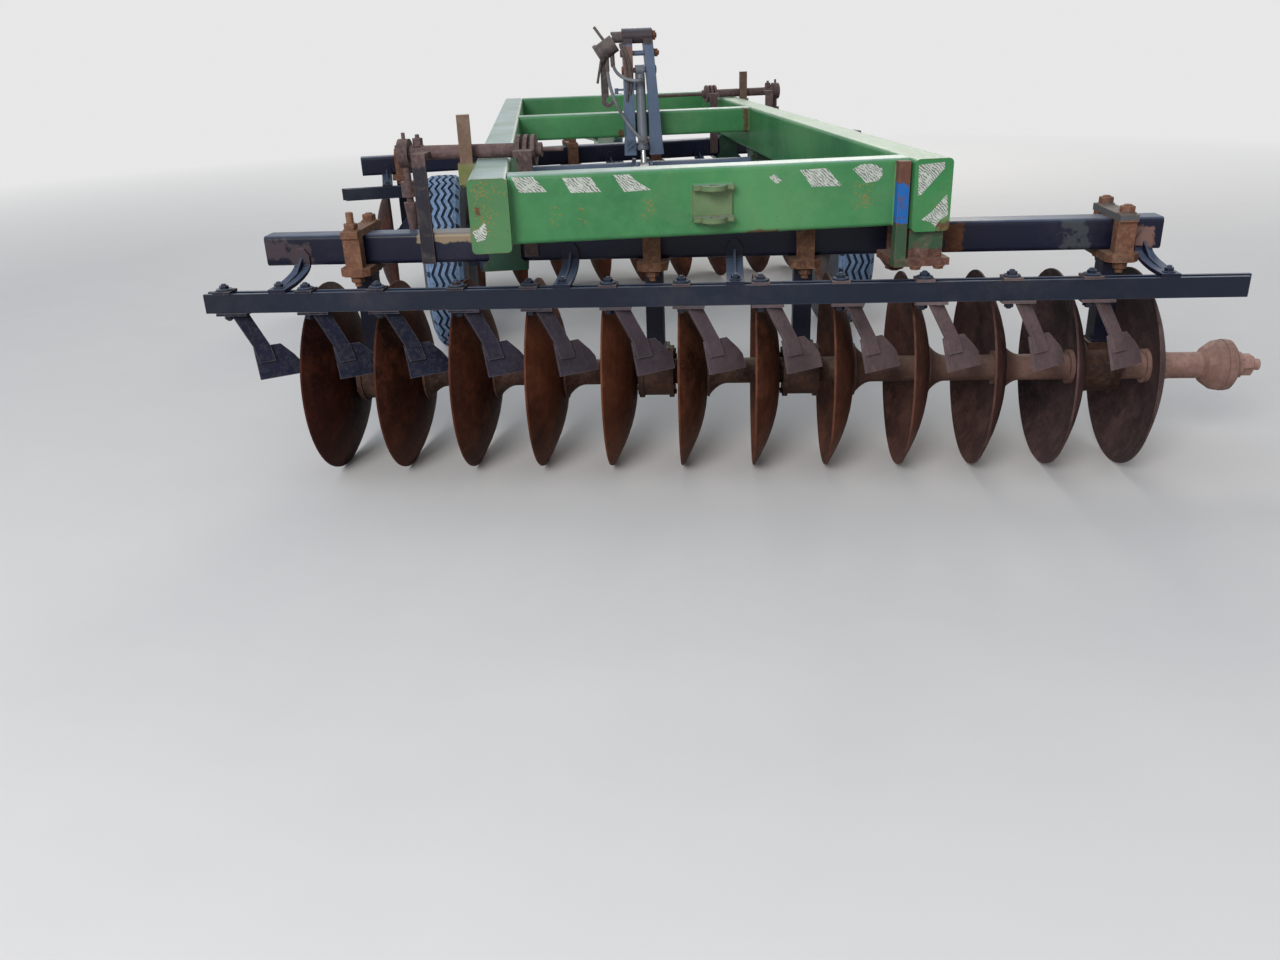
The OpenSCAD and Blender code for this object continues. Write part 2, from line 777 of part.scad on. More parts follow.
function ring(curve, part) =
  let (way = curve_way(curve, part))
  let (side = cross(way, [1, 0, 0]))
  let (across = side / norm(side), up = cross(way, across))
  [for (k = [0:hose_sides - 1]) let (turn = 360 * k / hose_sides)
    curve_at(curve, part) + hose_d / 2 * (cos(turn) * across + sin(turn) * up)];

module lift_hoses() {
  last = hose_steps * hose_sides;
  color(black_rubber) for (curve = hose_curves)
    polyhedron(
      points = [for (i = [0:hose_steps]) each ring(curve, i / hose_steps)],
      faces = concat(
        [[for (k = [0:hose_sides - 1]) k]],
        [for (i = [0:hose_steps - 1], k = [0:hose_sides - 1]) [
          i * hose_sides + k, (i + 1) * hose_sides + k,
          (i + 1) * hose_sides + (k + 1) % hose_sides, i * hose_sides + (k + 1) % hose_sides
        ]],
        [[for (k = [hose_sides - 1:-1:0]) last + k]]
      )
    );
}

// Lift cylinder between the mast's pin and the lever on the rock shaft.
lever_l = 165;
lever_rise = 30;
lever_y = shaft_y - lever_l;
lever_z = shaft_z + lever_rise;
cylinder_x = 21;
barrel_wall = 5;
barrel_l = 380;
eye_d = 50;
eye_w = 44;
rod_eye_d = 58;
rod_start = 180;
pin_d = 25;
eye_slack = 6;
port_d = 22;
port_l = 30;

function cyl_len() = norm([mast_y - lever_y, mast_pin_z - lever_z]);
function cyl_tilt() = atan2(mast_y - lever_y, mast_pin_z - lever_z);

module along_cylinder() {
  translate([cylinder_x, mast_y, mast_pin_z]) rotate([-cyl_tilt(), 0, 0]) mirror([0, 0, 1]) children();
}

module cylinder_barrel() {
  barrel_d = cylinder_bore + 2 * barrel_wall;
  color(navy) difference() {
    union() {
      along_cylinder() {
        rod_x([-eye_w / 2, 0, 0], eye_w, eye_d);
        rod_z([0, 0, 20], barrel_l - 20, barrel_d);
      }
      for (curve = hose_curves)
        rod_y([cylinder_x, curve[3][1], curve[3][2]], port_l + 14, port_d);
    }
    along_cylinder() {
      rod_x([-eye_w, 0, 0], 2 * eye_w, pin_d + 2 * pin_fit);
      rod_z([0, 0, 50], barrel_l, rod_d + 2 * pin_fit);
    }
  }
}

module cylinder_rod() {
  color(bright) along_cylinder() difference() {
    union() {
      rod_z([0, 0, rod_start], cyl_len() - rod_start - 10, rod_d);
      rod_x([-eye_w / 2, 0, cyl_len()], eye_w, rod_eye_d);
    }
    rod_x([-eye_w, 0, cyl_len()], 2 * eye_w, pin_d + 2 * eye_slack);
  }
}

// Rock shaft across the frame, its bearings, the wheel arms and the lever.
shaft_wall = 8;
bearing_wall = 25;
bearing_foot = 180;
bearing_foot_t = 18;
bearing_web = 120;
wheel_arm_t = 24;
wheel_arm_h = 90;
wheel_arm_gap = 60;
arm_x = (wheel_track - tyre_w) / 2 - wheel_arm_gap;
boss_more = 40;
stub_boss_d = 110;
stub_d = 50;
stub_over = 50;

module shaft_bearings() {
  color(green) for (side = [-1, 1])
    difference() {
      union() {
        rod_x([side * side_x - side_w / 2, shaft_y, shaft_z], side_w, shaft_d + 2 * bearing_wall);
        block(
          [side * side_x - side_w / 2, shaft_y - bearing_foot / 2, frame_bottom - bearing_foot_t],
          [side_w, bearing_foot, bearing_foot_t]
        );
        block(
          [side * side_x - side_w / 2, shaft_y - bearing_web / 2, shaft_z],
          [side_w, bearing_web, frame_bottom - shaft_z]
        );
      }
      rod_x([side * side_x - side_w, shaft_y, shaft_z], 2 * side_w, shaft_d + 2 * pin_fit);
    }
}

module rock_shaft() {
  half = arm_x + wheel_arm_t;
  color(slate) difference() {
    rod_x([-half, shaft_y, shaft_z], 2 * half, shaft_d);
    rod_x([-half - 1, shaft_y, shaft_z], 2 * half + 2, shaft_d - 2 * shaft_wall);
  }
}

function arm_len() = norm([shaft_y - wheel_y, shaft_z - tyre_d / 2]);
function arm_dip() = atan2(shaft_z - tyre_d / 2, shaft_y - wheel_y);

// One wheel arm on the right side; its outline narrows from the shaft to the stub axle.
module wheel_arm() {
  translate([arm_x, shaft_y, shaft_z]) rotate([arm_dip(), 0, 0]) difference() {
    union() {
      rotate([90, 0, 90]) linear_extrude(wheel_arm_t)
        polygon([
          [0, -wheel_arm_h / 2 - 8], [0, wheel_arm_h / 2 + 8],
          [-arm_len(), wheel_arm_h / 2 - 8], [-arm_len(), -wheel_arm_h / 2 + 8]
        ]);
      rod_x([0, 0, 0], wheel_arm_t, shaft_d + boss_more);
      rod_x([0, -arm_len(), 0], wheel_arm_t, stub_boss_d);
    }
    rod_x([-1, 0, 0], wheel_arm_t + 2, shaft_d + 2 * hub_gap);
  }
  rod_x(
    [arm_x + wheel_arm_t - 4, wheel_y, tyre_d / 2],
    wheel_track / 2 - arm_x + stub_over - wheel_arm_t + 4, stub_d
  );
}

module wheel_arms() {
  color(slate) {
    wheel_arm();
    mirror([1, 0, 0]) wheel_arm();
  }
}

lever_gap = 56;
lever_t = 16;
lever_h = 64;
lever_boss = 36;
lever_pin_over = 12;

module lift_lever() {
  tilt = atan2(lever_rise, lever_l);
  reach = norm([lever_l, lever_rise]);
  half = lever_gap / 2 + lever_t + lever_pin_over;
  color(slate) {
    for (side = [-1, 1])
      translate([cylinder_x + side * (lever_gap + lever_t) / 2 - lever_t / 2, shaft_y, shaft_z])
        rotate([-tilt, 0, 0]) difference() {
          union() {
            block([0, -reach, -lever_h / 2], [lever_t, reach, lever_h]);
            rod_x([0, 0, 0], lever_t, shaft_d + lever_boss);
            rod_x([0, -reach, 0], lever_t, lever_h);
          }
          rod_x([-1, 0, 0], lever_t + 2, shaft_d + 2 * hub_gap);
        }
    rod_x([cylinder_x - half, lever_y, lever_z], 2 * half, pin_d);
  }
}

// Wheels: a steel rim with a hub and a plain tyre on each stub axle.
rim_r = 190;
rim_w = 150;
lip = 22;
lip_t = 6;
well = 12;
hub_d = 96;
hub_back = 66;
hub_l = 130;
hub_depth = 120;

module rim(side) {
  half = rim_w / 2;
  lip_r = rim_r + lip;
  color(rust) translate([side * wheel_track / 2, wheel_y, tyre_d / 2]) rotate([0, 90 * side, 0])
    difference() {
      union() {
        rotate_extrude($fn = 96) polygon([
          [34, -60], [60, -60], [60, 12], [120, 22], [rim_r - 20, -2], [rim_r - 8, -half + 12],
          [lip_r - well, -half], [lip_r, -half], [lip_r, -half + lip_t], [lip_r - 8, -half + 8],
          [rim_r, -half + 20], [rim_r - 2, half - 20], [lip_r - 8, half - 8], [lip_r, half - lip_t],
          [lip_r, half], [lip_r - well, half], [rim_r - 10, half - 16], [rim_r - 12, 10], [120, 34],
          [60, 24], [60, 48], [34, 48]
        ]);
        translate([0, 0, -hub_back]) cylinder(h = hub_l, d = hub_d);
      }
      translate([0, 0, -hub_back - 4]) cylinder(h = hub_depth, d = stub_d + 2 * pin_fit);
    }
}

module tyre(side) {
  rt = tyre_d / 2;
  h = tyre_w / 2;
  bead = rim_w / 2;
  flank = [
    [rim_r + 1, bead - 22], [rim_r + 16, bead - 9], [rim_r + 24, bead - 5], [rim_r + 35, bead + 2],
    [rim_r + 72, h - 8],
    [rt - 102, h], [rt - 64, h - 8], [rt - 34, h - 20], [rt - 12, h - 34], [rt - 3, h - 48], [rt, 20]
  ];
  last = len(flank) - 1;
  color(black_rubber) translate([side * wheel_track / 2, wheel_y, rt]) rotate([0, 90 * side, 0])
    rotate_extrude($fn = 120) polygon(concat(
      [for (k = [0:last]) [flank[k][0], -flank[k][1]]],
      [for (k = [last:-1:0]) flank[k]]
    ));
}

// Drawbar sloping down from the front cross beam, with its braces, hitch and parking jack.
drawbar_root_z = frame_bottom + side_h / 2;
drawbar_drop = 400;
drawbar_dip = atan2(drawbar_drop, drawbar_l);
slope_l = drawbar_l / cos(drawbar_dip);
head_l = 150;

// Places its children along the drawbar: Y down its middle line from the front cross beam's face.
module along_drawbar() {
  translate([0, frame_l, drawbar_root_z]) rotate([-drawbar_dip, 0, 0]) children();
}

module ahead_of_frame() {
  intersection() {
    children();
    block([-1000, frame_l, 0], [2000, 3000, 2000]);
  }
}

module drawbar() {
  half = drawbar_size / 2;
  color(green) ahead_of_frame() along_drawbar() difference() {
    block([-half, -60, -half], [drawbar_size, slope_l - head_l + 60, drawbar_size]);
    block(
      [-half + tube_wall, -61, -half + tube_wall],
      [drawbar_size - 2 * tube_wall, slope_l - head_l - tube_wall + 61, drawbar_size - 2 * tube_wall]
    );
  }
}

brace_t = 60;
brace_run = 900;
brace_foot = 70;

module drawbar_braces() {
  out = side_x + side_w / 2 - brace_foot;
  color(green) ahead_of_frame() along_drawbar() for (side = [-1, 1])
    translate([0, 0, -brace_t / 2]) linear_extrude(brace_t)
      polygon([
        [side * out, -20], [side * (out + brace_foot), -20],
        [side * drawbar_size / 2, brace_run + 60], [side * drawbar_size / 2, brace_run - 30]
      ]);
}

hitch_gap = 60;
hitch_t = 24;
hitch_y = frame_l + drawbar_l;
hitch_z = drawbar_root_z - drawbar_drop;
hitch_plate_t = 24;

module hitch_head() {
  root = hitch_y - head_l;
  color(rust) difference() {
    union() {
      along_drawbar()
        block(
          [-drawbar_size / 2, slope_l - head_l, -drawbar_size / 2],
          [drawbar_size, hitch_plate_t, drawbar_size]
        );
      for (side = [-1, 1]) {
        block(
          [-50, root + 22, hitch_z + side * (hitch_gap + hitch_t) / 2 - hitch_t / 2],
          [100, hitch_y - root - 22, hitch_t]
        );
        rod_z([0, hitch_y, hitch_z + side * (hitch_gap + hitch_t) / 2 - hitch_t / 2], hitch_t, 100);
      }
      block([-50, root + 22, hitch_z - hitch_gap / 2], [100, 22, hitch_gap]);
    }
    rod_z([0, hitch_y, hitch_z - 100], 200, hitch_pin_d);
  }
}

// Parking jack on the drawbar's side: a tube with a crank, and a leg with a foot.
jack_run = 1080;
jack_y = frame_l + jack_run;
jack_z = drawbar_root_z - jack_run * tan(drawbar_dip);
jack_d = 70;
jack_wall = 6;
jack_x = drawbar_size / 2 + jack_d / 2 + 22;
jack_low = 330;
jack_high = 980;
foot_size = 150;
foot_t = 12;
leg_l = 640;
crank_l = 160;
crank_d = 16;

module jack_tube() {
  color(slate) difference() {
    union() {
      rod_z([jack_x, jack_y, jack_low], jack_high - jack_low, jack_d);
      block([drawbar_size / 2, jack_y - 45, jack_z - 45], [jack_x - drawbar_size / 2, 90, 90]);
      rod_z([jack_x, jack_y, jack_high - 4], 34, 90);
      rod_z([jack_x, jack_y, jack_high], 70, 30);
      rod_x([jack_x - 10, jack_y, jack_high + 58], crank_l, crank_d);
      rod_z([jack_x + crank_l - 18, jack_y, jack_high + 52], 70, 22);
    }
    rod_z([jack_x, jack_y, jack_low - 10], jack_high - jack_low - 20, jack_d - 2 * jack_wall);
  }
}

module jack_leg() {
  color(rust) {
    rod_z([jack_x, jack_y, foot_t - 2], leg_l, jack_d - 2 * jack_wall - 2 * pin_fit);
    block([jack_x - foot_size / 2, jack_y - foot_size / 2, 0], [foot_size, foot_size, foot_t]);
  }
}

// The origin is the middle of the ground that the whole machine covers.
axle_right = disc_x(disc_count - 1) + axle_tail;
tip_r = tail_d / 2;
reach_right = rear_offset + axle_right * cos(rear_angle) + tip_r * sin(rear_angle);
reach_left = front_offset + axle_right * cos(front_angle) + tip_r * sin(front_angle);
reach_rear = rear_gang_y - (bar_right - bar_stagger) * sin(rear_angle)
  - (bar_r + rail_gap / 2 + rail_t) * cos(rear_angle);
reach_front = hitch_y + 50;

module placed() {
  translate([(reach_left - reach_right) / 2, -(reach_rear + reach_front) / 2, 0]) children();
}

placed() side_beam(-1);  // side_beam_left
placed() side_beam(1);  // side_beam_right
placed() rear_cross_beam();
placed() mid_cross_beam();
placed() front_cross_beam();
placed() rear_clevis();
placed() {  // rear_pivot_bracket
  rear_gang_place() pivot_bracket(rear_offset, rear_angle);
  rear_jaw();
}
placed() front_gang_place() pivot_bracket(front_offset, front_angle);  // front_pivot_bracket
placed() keeper(-1, rear_gang_y, rear_offset, rear_angle);  // rear_keeper
placed() keeper(1, front_gang_y, front_offset, front_angle);  // front_keeper
placed() stop_post(-stop_x, rear_stop_y);  // rear_stop_post
placed() stop_post(stop_x, front_stop_y);  // front_stop_post
placed() mast();
placed() hose_couplings();
placed() lift_hoses();
placed() shaft_bearings();
placed() drawbar();
placed() drawbar_braces();
placed() hitch_head();
placed() jack_tube();
placed() rear_gang_place() gang_beam_tube(rear_offset, rear_angle, 0);  // rear_gang_beam
placed() rear_gang_place() yoke(rear_offset, rear_angle);  // rear_yoke
placed() rear_gang_place() beam_clamps();  // rear_beam_clamps
placed() rear_gang_place() hangers();  // rear_hangers
placed() rear_gang_place() bearings();  // rear_bearings
placed() rear_gang_place() scraper_rails();  // rear_scraper_rails
placed() rear_gang_place() rail_hangers();  // rear_rail_hangers
placed() rear_gang_place() scrapers();  // rear_scrapers
placed() rear_gang_place() discs();  // rear_discs
placed() rear_gang_place() axle();  // rear_axle
placed() front_gang_place() gang_beam_tube(front_offset, front_angle, front_beam_more);  // front_gang_beam
placed() front_gang_place() yoke(front_offset, front_angle);  // front_yoke
placed() front_gang_place() beam_clamps();  // front_beam_clamps
placed() front_gang_place() hangers();  // front_hangers
placed() front_gang_place() bearings();  // front_bearings
placed() front_gang_place() scraper_rails();  // front_scraper_rails
placed() front_gang_place() rail_hangers();  // front_rail_hangers
placed() front_gang_place() scrapers();  // front_scrapers
placed() front_gang_place() discs();  // front_discs
placed() front_gang_place() axle();  // front_axle
placed() rock_shaft();
placed() wheel_arms();
placed() lift_lever();
placed() rim(-1);  // left_rim
placed() tyre(-1);  // left_tyre
placed() rim(1);  // right_rim
placed() tyre(1);  // right_tyre
placed() cylinder_barrel();
placed() cylinder_rod();
placed() jack_leg();
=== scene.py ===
import math
import random

import bmesh
import bpy
from mathutils import Matrix, Vector


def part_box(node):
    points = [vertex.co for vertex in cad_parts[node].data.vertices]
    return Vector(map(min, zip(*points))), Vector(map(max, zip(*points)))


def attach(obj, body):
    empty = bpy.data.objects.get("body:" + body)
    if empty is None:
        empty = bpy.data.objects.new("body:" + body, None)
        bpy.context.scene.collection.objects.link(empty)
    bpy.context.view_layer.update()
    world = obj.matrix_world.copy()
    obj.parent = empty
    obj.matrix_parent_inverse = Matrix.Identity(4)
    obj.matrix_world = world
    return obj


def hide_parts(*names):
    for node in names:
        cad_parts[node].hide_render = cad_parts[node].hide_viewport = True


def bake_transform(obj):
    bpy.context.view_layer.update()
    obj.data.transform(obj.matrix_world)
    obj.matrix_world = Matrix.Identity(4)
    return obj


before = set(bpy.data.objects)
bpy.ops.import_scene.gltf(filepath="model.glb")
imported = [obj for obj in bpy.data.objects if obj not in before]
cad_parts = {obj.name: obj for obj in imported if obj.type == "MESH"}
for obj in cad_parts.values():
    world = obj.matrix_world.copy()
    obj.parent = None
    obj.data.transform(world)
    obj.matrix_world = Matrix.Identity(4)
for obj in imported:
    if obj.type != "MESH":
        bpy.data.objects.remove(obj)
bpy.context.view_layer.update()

# ---- the machine's own axes
# X right, Y the direction of travel, Z up, from the ground below the rear end of the frame.
REAR_END_STEP = 0.050
cross_low, cross_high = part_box("rear_cross_beam")
MACHINE = Vector(((cross_low.x + cross_high.x) / 2, cross_low.y - REAR_END_STEP, 0))
INNER_X = cross_high.x - MACHINE.x


def place(x, y, z):
    """A point in the machine's own axes, in the frame's metres."""
    return MACHINE + Vector((x, y, z))


def middle(node):
    """The middle of a CAD node's box."""
    low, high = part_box(node)
    return (low + high) / 2


# ---- camera
FOCAL_PX = 1050.56
IMAGE_W = 1280
SENSOR_MM = 36.0
CAMERA_AT = place(-0.4896, -3.0907, 1.4149)
CAMERA_PITCH = 0.3996
CAMERA_ROLL = -0.0362
CAMERA_YAW = 0.0787


def make_camera():
    data = bpy.data.cameras.new("camera")
    data.sensor_width = SENSOR_MM
    data.lens = FOCAL_PX / IMAGE_W * SENSOR_MM
    data.clip_end = 200
    level = Vector((math.sin(CAMERA_YAW), math.cos(CAMERA_YAW), 0))
    side = Vector((math.cos(CAMERA_YAW), -math.sin(CAMERA_YAW), 0))
    z = Vector((0, 0, 1))
    forward = math.cos(CAMERA_PITCH) * level - math.sin(CAMERA_PITCH) * z
    up = math.sin(CAMERA_PITCH) * level + math.cos(CAMERA_PITCH) * z
    right = math.cos(CAMERA_ROLL) * side + math.sin(CAMERA_ROLL) * up
    top = -math.sin(CAMERA_ROLL) * side + math.cos(CAMERA_ROLL) * up
    camera = bpy.data.objects.new("camera", data)
    bpy.context.collection.objects.link(camera)
    camera.matrix_world = Matrix((
        (right.x, top.x, -forward.x, CAMERA_AT.x),
        (right.y, top.y, -forward.y, CAMERA_AT.y),
        (right.z, top.z, -forward.z, CAMERA_AT.z),
        (0, 0, 0, 1),
    ))
    bpy.context.scene.camera = camera


make_camera()


# ---- the two gangs' own axes
# A gang's X runs along its axle, Y forward, and the front gang is the mirror image of the rear one.
def gang_axes(x, y, angle, mirrored):
    turn = Matrix.Rotation(math.radians(angle), 4, "Z")
    flip = Matrix.Scale(-1 if mirrored else 1, 4, (1, 0, 0))
    return Matrix.Translation(place(x, y, 0)) @ turn @ flip


GANGS = {"rear": gang_axes(0.069, 0.403, -9.3, False), "front": gang_axes(-0.034, 3.441, 7.0, True)}


# ---- node helpers
BEVEL_SAMPLES = 4
BUMP_DEPTH = 0.002
PATCH_SOFT = 0.002


class Nodes:
    """Short calls for building a node tree, on one kind of texture coordinates."""

    def __init__(self, tree, coords):
        self.tree = tree
        self.tree.nodes.clear()
        self.coords = self.add("ShaderNodeTexCoord").outputs[coords]

    def add(self, kind, **inputs):
        """A new node. Each input is named as its socket, with _ for a space."""
        node = self.tree.nodes.new(kind)
        for name, value in inputs.items():
            self.put(node.inputs[name.replace("_", " ")], value)
        return node

    def put(self, socket, value):
        """Links a socket to another, or sets it. A colour comes without its alpha."""
        if isinstance(value, bpy.types.NodeSocket):
            self.tree.links.new(value, socket)
        elif socket.type == "RGBA":
            socket.default_value = (*value, 1)
        else:
            socket.default_value = value

    def noise(self, scale, detail=4.0, rough=0.55, warp=0.0, stretch=None):
        where = self.coords
        if stretch:
            where = self.add("ShaderNodeMapping", Vector=where, Scale=stretch).outputs[0]
        node = self.add(
            "ShaderNodeTexNoise", Vector=where, Scale=scale, Detail=detail, Roughness=rough, Distortion=warp,
        )
        return node.outputs["Fac"]

    def cells(self, scale):
        return self.add("ShaderNodeTexVoronoi", Vector=self.coords, Scale=scale).outputs["Distance"]

    def span(self, value, low, high, out_low=0.0, out_high=1.0):
        node = self.add(
            "ShaderNodeMapRange", Value=value, From_Min=low, From_Max=high, To_Min=out_low, To_Max=out_high,
        )
        return node.outputs["Result"]

    def math(self, what, first, second=0.0, clamp=False):
        node = self.add("ShaderNodeMath")
        node.operation = what
        node.use_clamp = clamp
        self.put(node.inputs[0], first)
        self.put(node.inputs[1], second)
        return node.outputs[0]

    def plus(self, first, second, clamp=False):
        return self.math("ADD", first, second, clamp)

    def minus(self, first, second, clamp=False):
        return self.math("SUBTRACT", first, second, clamp)

    def times(self, first, second):
        return self.math("MULTIPLY", first, second)

    def most(self, first, second):
        return self.math("MAXIMUM", first, second)

    def least(self, first, second):
        return self.math("MINIMUM", first, second)

    def gap(self, first, second):
        return self.math("ABSOLUTE", self.minus(first, second))

    def vectors(self, what, first, second=None):
        """The value of a vector operation."""
        node = self.add("ShaderNodeVectorMath")
        node.operation = what
        self.put(node.inputs[0], first)
        if second:
            self.put(node.inputs[1], second)
        return node.outputs["Value"]

    def blend(self, factor, first, second):
        node = self.add("ShaderNodeMix", Factor=factor)
        node.data_type = "RGBA"
        self.put(node.inputs[6], first)
        self.put(node.inputs[7], second)
        return node.outputs[2]

    def mixed(self, factor, first, second):
        """A mix of two shaders."""
        node = self.add("ShaderNodeMixShader")
        for socket, source in zip(node.inputs, (factor, first, second)):
            self.put(socket, source)
        return node.outputs[0]

    def seen(self):
        """1 for the camera's rays and mirrored ones, which meet the pale backdrop, else 0."""
        path = self.add("ShaderNodeLightPath").outputs
        return self.most(self.most(path["Is Camera Ray"], path["Is Glossy Ray"]), path["Is Transmission Ray"])

    def split(self, vector):
        return self.add("ShaderNodeSeparateXYZ", Vector=vector).outputs

    def axes(self):
        return self.split(self.coords)

    def normal(self):
        return self.add("ShaderNodeNewGeometry").outputs["Normal"]

    def upward(self):
        return self.split(self.normal())["Z"]

    def edges(self, radius):
        """More than 0 where a bevel of this radius would turn the surface."""
        bevel = self.add("ShaderNodeBevel", Radius=radius)
        bevel.samples = BEVEL_SAMPLES
        return self.minus(1.0, self.vectors("DOT_PRODUCT", bevel.outputs[0], self.normal()), clamp=True)

    def patch(self, low, high, ragged):
        """1 inside a box between two corners, with a ragged outline as wide as ragged, else 0."""
        inside = None
        wander = self.span(self.noise(34.0, 5.0, 0.65), 0.25, 0.75, -ragged, ragged)
        for axis, a, b in zip(self.axes(), low, high):
            room = self.minus((b - a) / 2, self.plus(self.gap(axis, (a + b) / 2), wander))
            part = self.span(room, 0.0, PATCH_SOFT + ragged / 3)
            inside = part if inside is None else self.least(inside, part)
        return inside


class Paint(Nodes):
    """A material's node tree, with its shader and its output."""

    def __init__(self, name):
        self.material = bpy.data.materials.new(name)
        self.material.use_nodes = True
        super().__init__(self.material.node_tree, "Object")
        self.shader = self.add("ShaderNodeBsdfPrincipled")
        self.output = self.add("ShaderNodeOutputMaterial", Surface=self.shader.outputs[0])

    def bump(self, height, strength):
        node = self.add("ShaderNodeBump", Strength=strength, Distance=BUMP_DEPTH, Height=height)
        self.put(self.shader.inputs["Normal"], node.outputs[0])

    def finish(self, colour, rough, metallic=0.0, shine=0.5):
        values = {"Base Color": colour, "Roughness": rough, "Metallic": metallic, "Specular IOR Level": shine}
        for name, value in values.items():
            self.put(self.shader.inputs[name], value)
        return self.material


# ---- kinds of surface
# Colours are linear. A noise lies mostly between 0.25 and 0.75, so the span taken of it sets
# how much of the surface the second tone covers and how soft the outline between the two is.
PINHOLE = (0.055, 0.050, 0.028)
PIT_BROWN = (0.340, 0.180, 0.035)
RUST_DARK = (0.070, 0.028, 0.017)
RUST_MID = (0.190, 0.075, 0.036)
RUST_LIGHT = (0.370, 0.180, 0.095)
DUST = (0.360, 0.290, 0.225)
RUN_STRETCH = (5.0, 5.0, 0.45)


def painted(
    name, dark, light, sheen, rust_at, worn, top_sheen_amount,
    rough=0.36, patches=(), speckle=0.0, grime=0.12, shine=0.4, edging=None,
):
    """Weathered paint: fading, pinholes, chips down to rust, runs of rust, worn edges, and a painted sky sheen on
    the tops.
    Each patch is a box's two corners, how ragged its outline is, and rust, pits or another paint's colour."""
    n = Paint(name)
    paint = n.blend(n.span(n.noise(1.7, 6.0, 0.6), 0.34, 0.66), dark, light)
    paint = n.blend(n.span(n.noise(30.0, 6.0, 0.65), 0.42, 0.78, 0.0, 0.4), paint, light)
    chips = n.span(n.noise(9.0, 10.0, 0.74, 0.4), rust_at, rust_at + 0.04)
    runs = n.span(n.noise(7.0, 6.0, 0.65, 0.2, RUN_STRETCH), rust_at + 0.05, rust_at + 0.15, 0.0, 0.5)
    rusty = n.most(chips, runs)
    if speckle:
        clusters = n.span(n.noise(5.0, 5.0, 0.6), 0.42, 0.62)
        pinholes = n.span(n.cells(70.0), 0.05, 0.20, speckle, 0.0)
        paint = n.blend(n.times(clusters, pinholes), paint, PINHOLE)
    bare = n.span(n.noise(14.0, 6.0, 0.7), 0.62 - worn, 0.70 - worn)
    rusty = n.most(rusty, n.times(n.span(n.edges(0.006), 0.03, 0.25), bare))
    rust = n.blend(n.span(n.noise(60.0, 6.0, 0.7), 0.3, 0.7), RUST_DARK, RUST_MID)
    for low, high, ragged, tint in patches:
        inside = n.patch(low, high, ragged)
        if tint == "rust":
            rusty = n.most(rusty, n.times(inside, 0.9))
        elif tint == "pits":
            dots = n.span(n.cells(150.0), 0.28, 0.40, 1.0, 0.0)
            dots = n.times(dots, n.span(n.noise(60.0, 3.0, 0.6), 0.42, 0.50))
            paint = n.blend(n.times(inside, dots), paint, PIT_BROWN)
        else:
            paint = n.blend(inside, paint, tint)
    # Painted highlight: the edges lighten towards the edging colour.
    if edging:
        paint = n.blend(n.span(n.edges(0.003), 0.02, 0.20, 0.0, 0.8), paint, edging)
    colour = n.blend(rusty, paint, rust)
    # Painted sky sheen: faces that point up turn patchily towards the sheen colour, a painted reflection of the sky.
    sky_sheen_on_tops = n.times(n.span(n.upward(), 0.5, 0.98), n.span(n.noise(6.0, 7.0, 0.65), 0.30, 0.70, 0.35, 1.0))
    colour = n.blend(n.times(sky_sheen_on_tops, top_sheen_amount), colour, sheen)
    dirt = n.span(n.noise(3.4, 8.0, 0.7, 0.5), 0.50, 0.70, 0.0, grime)
    colour = n.blend(dirt, colour, DUST)
    n.bump(n.plus(n.times(rusty, -0.5), n.noise(120.0, 4.0, 0.6)), 0.22)
    rough_all = n.plus(n.span(rusty, 0.0, 1.0, rough, 0.86), n.times(dirt, 0.5), clamp=True)
    return n.finish(colour, rough_all, shine=shine)


def rusted(
    name, dark, mid, light, metallic=0.0, soil=0.3,
    along=None, second=None, patches=(), shine=0.3, edging=None,
):
    """Bare steel rusted through, with darker pits, lighter bloom and soil on it.
    along = (from x, to x) turns dark and mid into the pair in second on the way across the machine.
    Each patch is a box's two corners, how ragged its outline is and the colour of paint left there."""
    n = Paint(name)
    broad = n.noise(4.0, 8.0, 0.65, 0.3)
    fine = n.noise(64.0, 7.0, 0.72)
    low, high = dark, mid
    if along:
        share = n.span(n.axes()[0], *along)
        low = n.blend(share, dark, second[0])
        high = n.blend(share, mid, second[1])
    colour = n.blend(n.span(broad, 0.34, 0.64), low, high)
    colour = n.blend(n.span(fine, 0.46, 0.72, 0.0, 0.7), colour, light)
    pits = n.span(n.cells(95.0), 0.06, 0.24, 0.55, 0.0)
    colour = n.blend(n.times(pits, n.span(n.noise(8.0, 4.0), 0.4, 0.6)), colour, dark)
    for first, last, ragged, tint in patches:
        colour = n.blend(n.times(n.patch(first, last, ragged), 0.92), colour, tint)
    colour = n.blend(n.span(n.noise(10.0, 9.0, 0.72, 0.3), 0.52, 0.68, 0.0, soil), colour, DUST)
    top = n.times(n.span(n.upward(), 0.55, 1.0), n.span(n.noise(9.0, 6.0, 0.65), 0.35, 0.7, 0.1, 0.45))
    colour = n.blend(top, colour, DUST)
    # Edges lighten: worn steel, and where EDGE_STEEL is given, as on the scrapers, partly a painted highlight too.
    colour = n.blend(n.span(n.edges(0.004), 0.03, 0.3, 0.0, 0.6), colour, edging or light)
    n.bump(n.plus(fine, n.times(broad, 2.0)), 0.4)
    return n.finish(colour, n.span(fine, 0.3, 0.7, 0.50, 0.88), metallic, shine)


